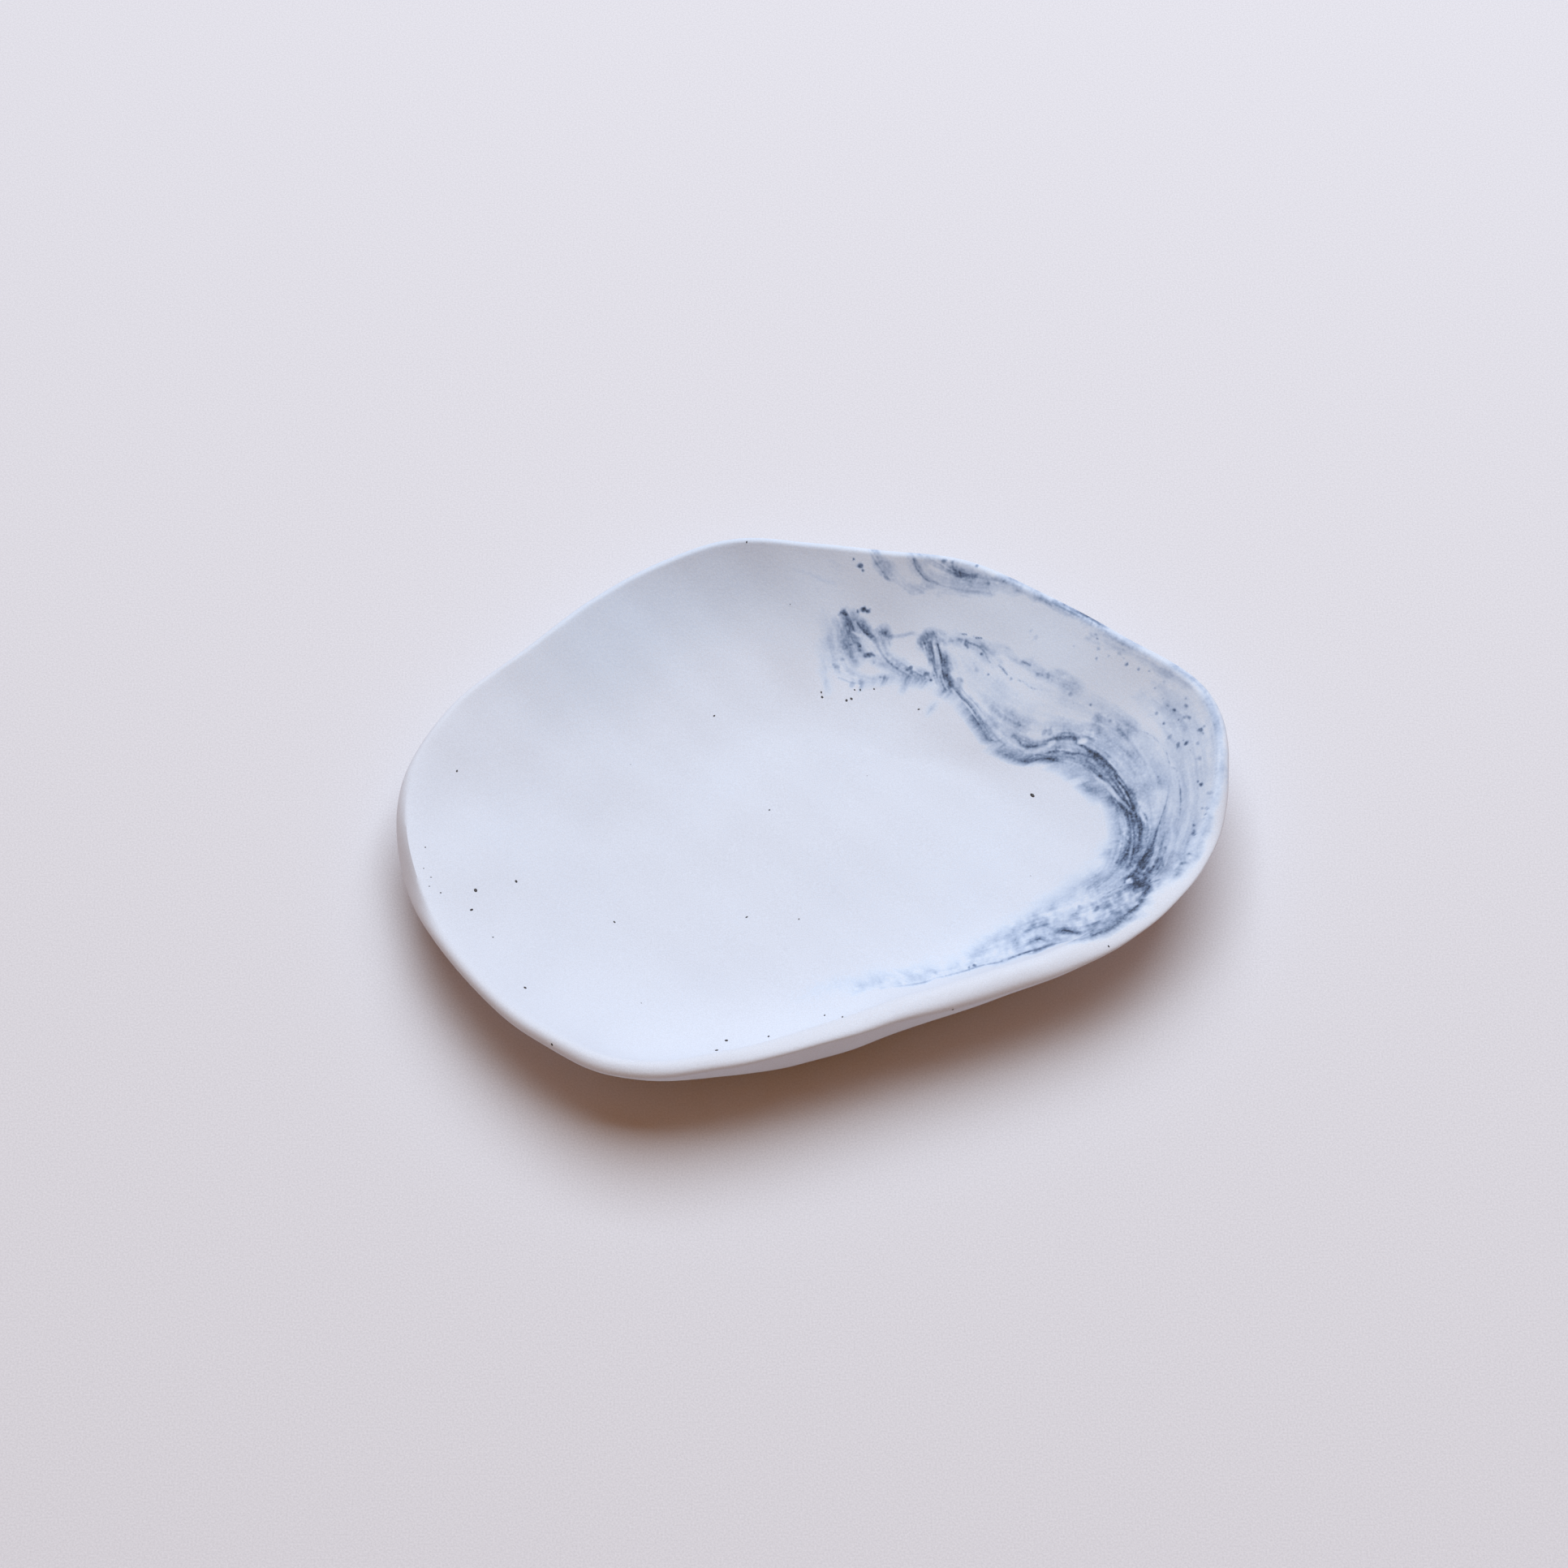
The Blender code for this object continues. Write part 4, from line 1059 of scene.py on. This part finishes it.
def linear(colour):
    """A colour as it looks on a screen, 0 to 255, as the linear value that a node wants."""
    parts = [c / 255 for c in colour]
    return (*[p / 12.92 if p <= 0.04045 else ((p + 0.055) / 1.055) ** 2.4 for p in parts], 1.0)


def set_ramp(ramp_node, stops):
    """Gives a colour ramp its stops, as places and colours."""
    stops_there = ramp_node.color_ramp.elements
    stops_there.remove(stops_there[1])
    for k, (place, colour) in enumerate(stops):
        stop = stops_there[0] if k == 0 else stops_there.new(place)
        stop.position = place
        stop.color = linear(colour)


# %% Group: stain to colour, with a painted highlight on the lip's crest
STAIN_COLOURS = [        # amount of stain, and the colour of the clay there
    (0.0, (220, 225, 237)), (0.06, (216, 225, 240)), (0.15, (205, 217, 236)), (0.35, (179, 194, 219)),
    (0.6, (137, 155, 184)), (0.8, (98, 116, 147)), (1.0, (52, 62, 81))]
PATCH_SCALE, PATCH_DETAIL = 55.0, 3.0          # mottle a centimetre or two wide
FINE_SCALE, FINE_DETAIL = 2600.0, 2.0          # grain under half a millimetre
SAND_SCALE, SAND_DETAIL = 5200.0, 1.0          # light and dark grains
FINE_SHARE = 2.2                               # strength of the fine grain beside the patches
STAIN_MOTTLE = 0.28                            # how much more uneven the stained clay is than the white
SHADE_SPAN, SHADE_BASE = 0.26, 0.87            # brightness of the grains
CREST_PAINTED_HIGHLIGHT = 0.06                           # painted highlight on the crest of the lip

stain_group, stain_in, stain_out = new_group(
    "stained_porcelain_colour", [("Stain", 0.0), ("Mottle", 0.03), ("Wear and painted highlight", 0.0)],
    [("Color", "NodeSocketColor")])
spots = add_node(stain_group, "ShaderNodeTexCoord")
patches = noise_node(stain_group, spots, PATCH_SCALE, PATCH_DETAIL).outputs["Fac"]
fine = noise_node(stain_group, spots, FINE_SCALE, FINE_DETAIL).outputs["Fac"]
uneven = math_node(stain_group, "SUBTRACT", patches, 0.5)
grainy = math_node(stain_group, "SUBTRACT", fine, 0.5)
both = math_node(stain_group, "MULTIPLY_ADD", grainy, FINE_SHARE, uneven)
stain_given, mottle_given = stain_in.outputs["Stain"], stain_in.outputs["Mottle"]
strength = math_node(stain_group, "MULTIPLY_ADD", stain_given, STAIN_MOTTLE, mottle_given)
amount = math_node(stain_group, "MULTIPLY_ADD", both, strength, stain_given, use_clamp=True)
ramp = add_node(stain_group, "ShaderNodeValToRGB", {"Fac": amount})
set_ramp(ramp, STAIN_COLOURS)
sanded = noise_node(stain_group, spots, SAND_SCALE, SAND_DETAIL).outputs["Fac"]
shade = math_node(stain_group, "MULTIPLY_ADD", sanded, SHADE_SPAN, SHADE_BASE)
# Painted highlight: the crest of the lip is made lighter.
grain_and_highlight = math_node(stain_group, "MULTIPLY_ADD", stain_in.outputs["Wear and painted highlight"], CREST_PAINTED_HIGHLIGHT, shade)
shaded = add_node(stain_group, "ShaderNodeVectorMath", {0: ramp.outputs["Color"]}, operation="SCALE")
stain_group.links.new(grain_and_highlight, shaded.inputs["Scale"])
stain_group.links.new(shaded.outputs["Vector"], stain_out.inputs["Color"])
print("stain colours:", len(ramp.color_ramp.elements))

# %% Group: grain of unglazed porcelain
GRAIN_SCALE, LUMP_SCALE = 3200.0, 420.0        # sandy grain, and soft lumps a few millimetres wide
LUMP_SHARE = 1.6                               # height of the lumps beside the grain
CREST_SMOOTHER = -0.14
ROUGHNESS_SPAN = 0.16

grain_group, grain_in, grain_out = new_group(
    "porcelain_grain", [("Roughness", 0.6), ("Wear and painted highlight", 0.0), ("Grain size", 1.0)],
    [("Roughness", "NodeSocketFloat"), ("Height", "NodeSocketFloat")])
place = add_node(grain_group, "ShaderNodeTexCoord")
grain_size = grain_in.outputs["Grain size"]
fine_scale = math_node(grain_group, "DIVIDE", GRAIN_SCALE, grain_size)
soft_scale = math_node(grain_group, "DIVIDE", LUMP_SCALE, grain_size)
sand = noise_node(grain_group, place, fine_scale, 2.0).outputs["Fac"]
lumps = noise_node(grain_group, place, soft_scale, 4.0).outputs["Fac"]
height = math_node(grain_group, "MULTIPLY_ADD", lumps, LUMP_SHARE, sand)
polish_given, roughness_given = grain_in.outputs["Wear and painted highlight"], grain_in.outputs["Roughness"]
worn = math_node(grain_group, "MULTIPLY_ADD", polish_given, CREST_SMOOTHER, roughness_given)
patchy = math_node(grain_group, "MULTIPLY_ADD", lumps, ROUGHNESS_SPAN, worn, use_clamp=True)
grain_group.links.new(patchy, grain_out.inputs["Roughness"])
grain_group.links.new(height, grain_out.inputs["Height"])
print("grain group:", len(grain_group.nodes), "nodes")


# %% The two clays
def clay_material(name, roughness, mottle, bump):
    """Porcelain whose colour follows the mesh's stain, and whose wear and painted highlight follow its crest.
    """
    made = bpy.data.materials.new(name)
    made.use_nodes = True
    tree = made.node_tree
    shader = tree.nodes["Principled BSDF"]
    stain_value = add_node(tree, "ShaderNodeAttribute", attribute_name="stain").outputs["Fac"]
    crest_value = add_node(tree, "ShaderNodeAttribute", attribute_name="crest").outputs["Fac"]
    colour = add_node(tree, "ShaderNodeGroup", node_tree=stain_group)
    grain = add_node(tree, "ShaderNodeGroup", node_tree=grain_group)
    tree.links.new(stain_value, colour.inputs["Stain"])
    tree.links.new(crest_value, colour.inputs["Wear and painted highlight"])
    tree.links.new(crest_value, grain.inputs["Wear and painted highlight"])
    colour.inputs["Mottle"].default_value = mottle
    grain.inputs["Roughness"].default_value = roughness
    relief = bump_node(tree, grain.outputs["Height"], bump)
    tree.links.new(colour.outputs["Color"], shader.inputs["Base Color"])
    tree.links.new(grain.outputs["Roughness"], shader.inputs["Roughness"])
    tree.links.new(relief.outputs["Normal"], shader.inputs["Normal"])
    shader.inputs["Specular IOR Level"].default_value = 0.35
    return made


white_clay = clay_material("matt_white_porcelain", roughness=0.58, mottle=0.05, bump=0.5)
marbled_clay = clay_material("matt_marbled_porcelain", roughness=0.56, mottle=0.05, bump=0.5)
white_body.data.materials.append(white_clay)
marbled_face.data.materials.append(marbled_clay)
print("clays:", white_clay.name, marbled_clay.name)

# %% [markdown]
# ## Specks of iron
# Porcelain clay picks up grains of iron. In the kiln each one burns to a black speck, melts a little and
# stays in the surface as a flat lens that stands a few hundredths of a millimetre proud. On the stained clay
# they are part of the marbling above. On the white clay they are real small lenses here, because a speck that
# catches light looks harder than a painted one. The larger ones are placed where the photograph shows them. A
# few smaller ones are strewn over the rest, also over the outside, which the photograph hides.
# One lens is made once, and a node tree puts a turned and stretched copy of it on each place.

# %% Where the larger specks lie, in pixels of the photograph, with half lengths in pixels
LARGE_SPECKS = [
    (586, 1097, 2.6), (581, 1121, 2.4), (636, 1086, 2.0), (647, 1217, 2.0), (563, 950, 1.8),
    (757, 1136, 1.8), (920, 1130, 1.8), (1272, 980, 3.6), (1038, 1253, 1.8), (1016, 1251, 1.3),
    (883, 1294, 2.2), (895, 1282, 2.2), (947, 1277, 1.8), (920, 668, 1.6), (880, 882, 1.6),
    (948, 998, 1.3), (543, 1100, 1.1), (531, 1081, 1.2), (529, 1092, 1.1), (522, 1070, 1.0),
    (524, 1044, 1.0), (680, 1287, 1.8), (1366, 1166, 1.6), (1174, 1244, 1.6), (1132, 874, 1.6),
    (1012, 853, 1.7), (1013, 859, 1.9), (1018, 845, 1.5), (1029, 846, 1.6), (1043, 863, 1.9),
    (1049, 861, 2.0), (1060, 850, 1.6), (1077, 849, 1.3), (1053, 850, 1.3)]


def clay_tree(piece):
    """A tree of a piece's faces for finding where a line of sight meets it."""
    mesh = piece.data
    return BVHTree.FromPolygons([v.co for v in mesh.vertices], [p.vertices for p in mesh.polygons])


def seen_through(column, row, tree):
    """The point of the clay seen at a pixel of the photograph, and the clay's direction outwards there."""
    aside = (column - PHOTO_SIDE / 2) * SENSOR / LENS / PHOTO_SIDE
    above = (PHOTO_SIDE / 2 - row) * SENSOR / LENS / PHOTO_SIDE
    look = Vector(sight + aside * np.array([1, 0, 0]) + above * picture_up).normalized()
    place, outwards, _, _ = tree.ray_cast(Vector(eye), look)
    return place, outwards


body_tree = clay_tree(white_body)
PIXEL = CAMERA_DISTANCE * SENSOR / LENS / PHOTO_SIDE      # m of clay in one pixel of the photograph
large = [(*seen_through(column, row, body_tree), size * PIXEL) for column, row, size in LARGE_SPECKS]
speck_mesh = bpy.data.meshes.new("specks")
speck_mesh.from_pydata([place for place, _, _ in large], [], [])
out_layer = speck_mesh.attributes.new("outwards", "FLOAT_VECTOR", "POINT")
out_layer.data.foreach_set("vector", np.array([outwards for _, outwards, _ in large], np.float32).ravel())
size_layer = speck_mesh.attributes.new("half_length", "FLOAT", "POINT")
size_layer.data.foreach_set("value", np.array([size for _, _, size in large], np.float32))
speck_places = bpy.data.objects.new("speck_places", speck_mesh)
bpy.context.scene.collection.objects.link(speck_places)
print("large specks:", len(large), "half lengths, mm:", sorted({round(size / MM, 2) for _, _, size in large}))

# %% Material: burned iron
IRON_COLOURS = [(0.35, (26, 25, 30)), (0.75, (74, 62, 58))]
CRUST_SCALE = 9000.0                           # crust finer than a speck
CRUST_ROUGHNESS_SPAN, CRUST_ROUGHNESS = 0.3, 0.35

iron = bpy.data.materials.new("burned_iron")
iron.use_nodes = True
tree = iron.node_tree
shader = tree.nodes["Principled BSDF"]
crust = noise_node(tree, add_node(tree, "ShaderNodeTexCoord"), CRUST_SCALE, 2.0).outputs["Fac"]
rust = add_node(tree, "ShaderNodeValToRGB", {"Fac": crust})
set_ramp(rust, IRON_COLOURS)
tree.links.new(rust.outputs["Color"], shader.inputs["Base Color"])
burnt = math_node(tree, "MULTIPLY_ADD", crust, CRUST_ROUGHNESS_SPAN, CRUST_ROUGHNESS)
tree.links.new(burnt, shader.inputs["Roughness"])
print("speck material:", iron.name)

# %% Node tree: a lens on each place, and smaller ones strewn over the white clay
speck_tree = bpy.data.node_groups.new("specks_in_clay", "GeometryNodeTree")
for label, kind, value in (
        ("Geometry", "NodeSocketGeometry", None), ("Clay", "NodeSocketObject", None),
        ("Lens height", "NodeSocketFloat", 0.16), ("Small specks per m2", "NodeSocketFloat", 1500.0),
        ("Smallest half length", "NodeSocketFloat", 0.07 * MM),
        ("Largest half length", "NodeSocketFloat", 0.16 * MM), ("Seed", "NodeSocketInt", 11)):
    socket = speck_tree.interface.new_socket(label, in_out="INPUT", socket_type=kind)
    if value is not None:
        socket.default_value = value
speck_tree.interface.new_socket("Geometry", in_out="OUTPUT", socket_type="NodeSocketGeometry")
given = speck_tree.nodes.new("NodeGroupInput")
result = speck_tree.nodes.new("NodeGroupOutput")

lens_form = {"X": 1.0, "Y": 1.0, "Z": given.outputs["Lens height"]}
lens_scale = add_node(speck_tree, "ShaderNodeCombineXYZ", lens_form).outputs[0]
ball = add_node(speck_tree, "GeometryNodeMeshIcoSphere", {"Radius": 1.0, "Subdivisions": 2}).outputs["Mesh"]
lens = add_node(speck_tree, "GeometryNodeTransform", {"Geometry": ball, "Scale": lens_scale})


def random_number(low, high, seed_step):
    """A node that gives each speck its own number between two values."""
    seed = math_node(speck_tree, "ADD", given.outputs["Seed"], float(seed_step))
    made = add_node(speck_tree, "FunctionNodeRandomValue", data_type="FLOAT")
    for socket in made.inputs:
        if socket.enabled and socket.name in ("Min", "Max"):
            value = low if socket.name == "Min" else high
            if isinstance(value, bpy.types.NodeSocket):
                speck_tree.links.new(value, socket)
            else:
                socket.default_value = value
    speck_tree.links.new(seed, made.inputs["Seed"])
    return next(socket for socket in made.outputs if socket.enabled)


NARROWEST, WIDEST = 0.55, 0.95       # width of a lens as a share of its length


def lenses_on(points, outwards, half_length, seed_step):
    """Copies of the lens on some points, square to the clay, each turned and stretched its own way."""
    square = add_node(speck_tree, "FunctionNodeAlignRotationToVector", {"Vector": outwards}, axis="Z")
    spin = add_node(speck_tree, "ShaderNodeCombineXYZ", {"Z": random_number(0.0, 2 * math.pi, seed_step)})
    spin_turn = add_node(speck_tree, "FunctionNodeEulerToRotation", {"Euler": spin.outputs[0]})
    turns = {"Rotation": square.outputs[0], "Rotate By": spin_turn.outputs[0]}
    turned = add_node(speck_tree, "FunctionNodeRotateRotation", turns, rotation_space="LOCAL")
    narrow = random_number(NARROWEST, WIDEST, seed_step + 1)
    stretch = add_node(speck_tree, "ShaderNodeCombineXYZ", {"X": 1.0, "Y": narrow, "Z": 1.0})
    scale = add_node(speck_tree, "ShaderNodeVectorMath", {0: stretch.outputs[0]}, operation="SCALE")
    speck_tree.links.new(half_length, scale.inputs["Scale"])
    return add_node(speck_tree, "GeometryNodeInstanceOnPoints", {
        "Points": points, "Instance": lens.outputs["Geometry"], "Rotation": turned.outputs[0],
        "Scale": scale.outputs[0]})


def carried(name, kind="FLOAT"):
    """A node that reads what the mesh carries under a name."""
    node = add_node(speck_tree, "GeometryNodeInputNamedAttribute", {"Name": name}, data_type=kind)
    return node.outputs["Attribute"]


WHITE_BELOW = 0.1                    # stain under which the clay counts as white
placed = lenses_on(given.outputs["Geometry"], carried("outwards", "FLOAT_VECTOR"), carried("half_length"), 1)

clay_shape = add_node(speck_tree, "GeometryNodeObjectInfo", {"Object": given.outputs["Clay"]})
white_test = {"A": carried("stain"), "B": WHITE_BELOW}
is_white = add_node(speck_tree, "FunctionNodeCompare", white_test, data_type="FLOAT", operation="LESS_THAN")
strewn = add_node(speck_tree, "GeometryNodeDistributePointsOnFaces", {
    "Mesh": clay_shape.outputs["Geometry"], "Selection": is_white.outputs[0],
    "Density": given.outputs["Small specks per m2"], "Seed": given.outputs["Seed"]})
small_size = random_number(given.outputs["Smallest half length"], given.outputs["Largest half length"], 5)
scattered = lenses_on(strewn.outputs["Points"], strewn.outputs["Normal"], small_size, 7)

joined = add_node(speck_tree, "GeometryNodeJoinGeometry")
for part in (placed, scattered):
    speck_tree.links.new(part.outputs["Instances"], joined.inputs["Geometry"])
real = add_node(speck_tree, "GeometryNodeRealizeInstances", {"Geometry": joined.outputs["Geometry"]})
finish = {"Geometry": real.outputs["Geometry"], "Material": iron}
dressed = add_node(speck_tree, "GeometryNodeSetMaterial", finish)
speck_tree.links.new(dressed.outputs["Geometry"], result.inputs["Geometry"])
print("speck tree:", len(speck_tree.nodes), "nodes")

# %% Run the tree and keep its result as a plain mesh
LENS_TRIANGLES = 80
run_tree = speck_places.modifiers.new("specks", "NODES")
run_tree.node_group = speck_tree
sockets = speck_tree.interface.items_tree
socket_names = {item.name: item.identifier for item in sockets if item.in_out == "INPUT"}
run_tree[socket_names["Clay"]] = white_body
evaluated = speck_places.evaluated_get(bpy.context.evaluated_depsgraph_get())
made_mesh = bpy.data.meshes.new_from_object(evaluated)
speck_places.modifiers.clear()
bpy.data.objects.remove(speck_places)
made_mesh.name = "iron_specks"
made_mesh.shade_smooth()
for label in ("outwards", "half_length", "stain", "crest"):
    if label in made_mesh.attributes:
        made_mesh.attributes.remove(made_mesh.attributes[label])
iron_specks = bpy.data.objects.new("iron_specks", made_mesh)
bpy.context.scene.collection.objects.link(iron_specks)
print("specks:", len(made_mesh.polygons) // LENS_TRIANGLES, "of", len(made_mesh.polygons), "triangles in all")

# %% [markdown]
# ## Floor and light
# The dish lies on plain pale paper, lit by a window high behind it and a little to the right, with dim warm
# light from the room. The window is one large lamp, whose size sets how soft the shadow's edge is. The room
# is the world's colour. Where the dish hides the window, only the room lights the paper, so the shadow turns
# warm brown.

# %% Paper
PAPER_HALF = 3.0                               # m
PAPER_COLOURS = [(0.3, (219, 217, 222)), (0.7, (234, 232, 237))]
TOOTH_SCALE, TOOTH_DETAIL = 3600.0, 3.0
paper_corners = [(x * PAPER_HALF, y * PAPER_HALF, 0.0) for x, y in ((-1, -1), (1, -1), (1, 1), (-1, 1))]
paper_mesh = bpy.data.meshes.new("paper")
paper_mesh.from_pydata(paper_corners, [], [(0, 1, 2, 3)])
paper = bpy.data.objects.new("paper", paper_mesh)
bpy.context.scene.collection.objects.link(paper)
paper_material = bpy.data.materials.new("pale_paper")
paper_material.use_nodes = True
tree = paper_material.node_tree
shader = tree.nodes["Principled BSDF"]
tooth = noise_node(tree, add_node(tree, "ShaderNodeTexCoord"), TOOTH_SCALE, TOOTH_DETAIL).outputs["Fac"]
tone = add_node(tree, "ShaderNodeValToRGB", {"Fac": tooth})
set_ramp(tone, PAPER_COLOURS)
tree.links.new(tone.outputs["Color"], shader.inputs["Base Color"])
tree.links.new(bump_node(tree, tooth, 0.25).outputs["Normal"], shader.inputs["Normal"])
shader.inputs["Roughness"].default_value = 0.85
shader.inputs["Specular IOR Level"].default_value = 0.2
paper_mesh.materials.append(paper_material)
print("paper, m:", 2 * PAPER_HALF)

# %% Window light and room light
WINDOW_SIDE = 1.15                             # m
WINDOW_DISTANCE = 1.30                         # m
WINDOW_RISE = math.radians(65.5)               # above level
WINDOW_TURN = math.radians(9)                  # from +Y towards +X
WINDOW_POWER = 22.0                            # W
WINDOW_COLOUR = (0.735, 0.875, 0.995)
ROOM_COLOUR = (1.0, 0.38, 0.0)
ROOM_STRENGTH = 0.23

window_data = bpy.data.lights.new("window", "AREA")
window_data.shape = "SQUARE"
window_data.size = WINDOW_SIDE
window_data.energy = WINDOW_POWER
window_data.color = WINDOW_COLOUR
window = bpy.data.objects.new("window", window_data)
level = math.cos(WINDOW_RISE)
towards = Vector((math.sin(WINDOW_TURN) * level, math.cos(WINDOW_TURN) * level, math.sin(WINDOW_RISE)))
window.location = towards * WINDOW_DISTANCE
window.rotation_euler = towards.to_track_quat("Z", "Y").to_euler()
bpy.context.scene.collection.objects.link(window)

world = bpy.data.worlds.new("room")
bpy.context.scene.world = world
world.use_nodes = True
background = world.node_tree.nodes["Background"]
background.inputs["Color"].default_value = (*ROOM_COLOUR, 1.0)
background.inputs["Strength"].default_value = ROOM_STRENGTH
bpy.context.scene.view_settings.view_transform = "Standard"
print("window at", [round(v, 2) for v in window.location])

# %% [markdown]
# ## Tie the pieces to the frame
# Each clay rides on the model's one body, and the part of the model that it takes the place of is hidden.
# The specks ride along and stand for no solid.

# %% Ride on the body, and hide the model's parts
for piece, node, slot in (
        (white_body, "porcelain_body", "porcelain_body"), (marbled_face, "marbled_inlay", "marbled_inlay")):
    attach(piece, "root")
    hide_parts(node)
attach(iron_specks, "root")
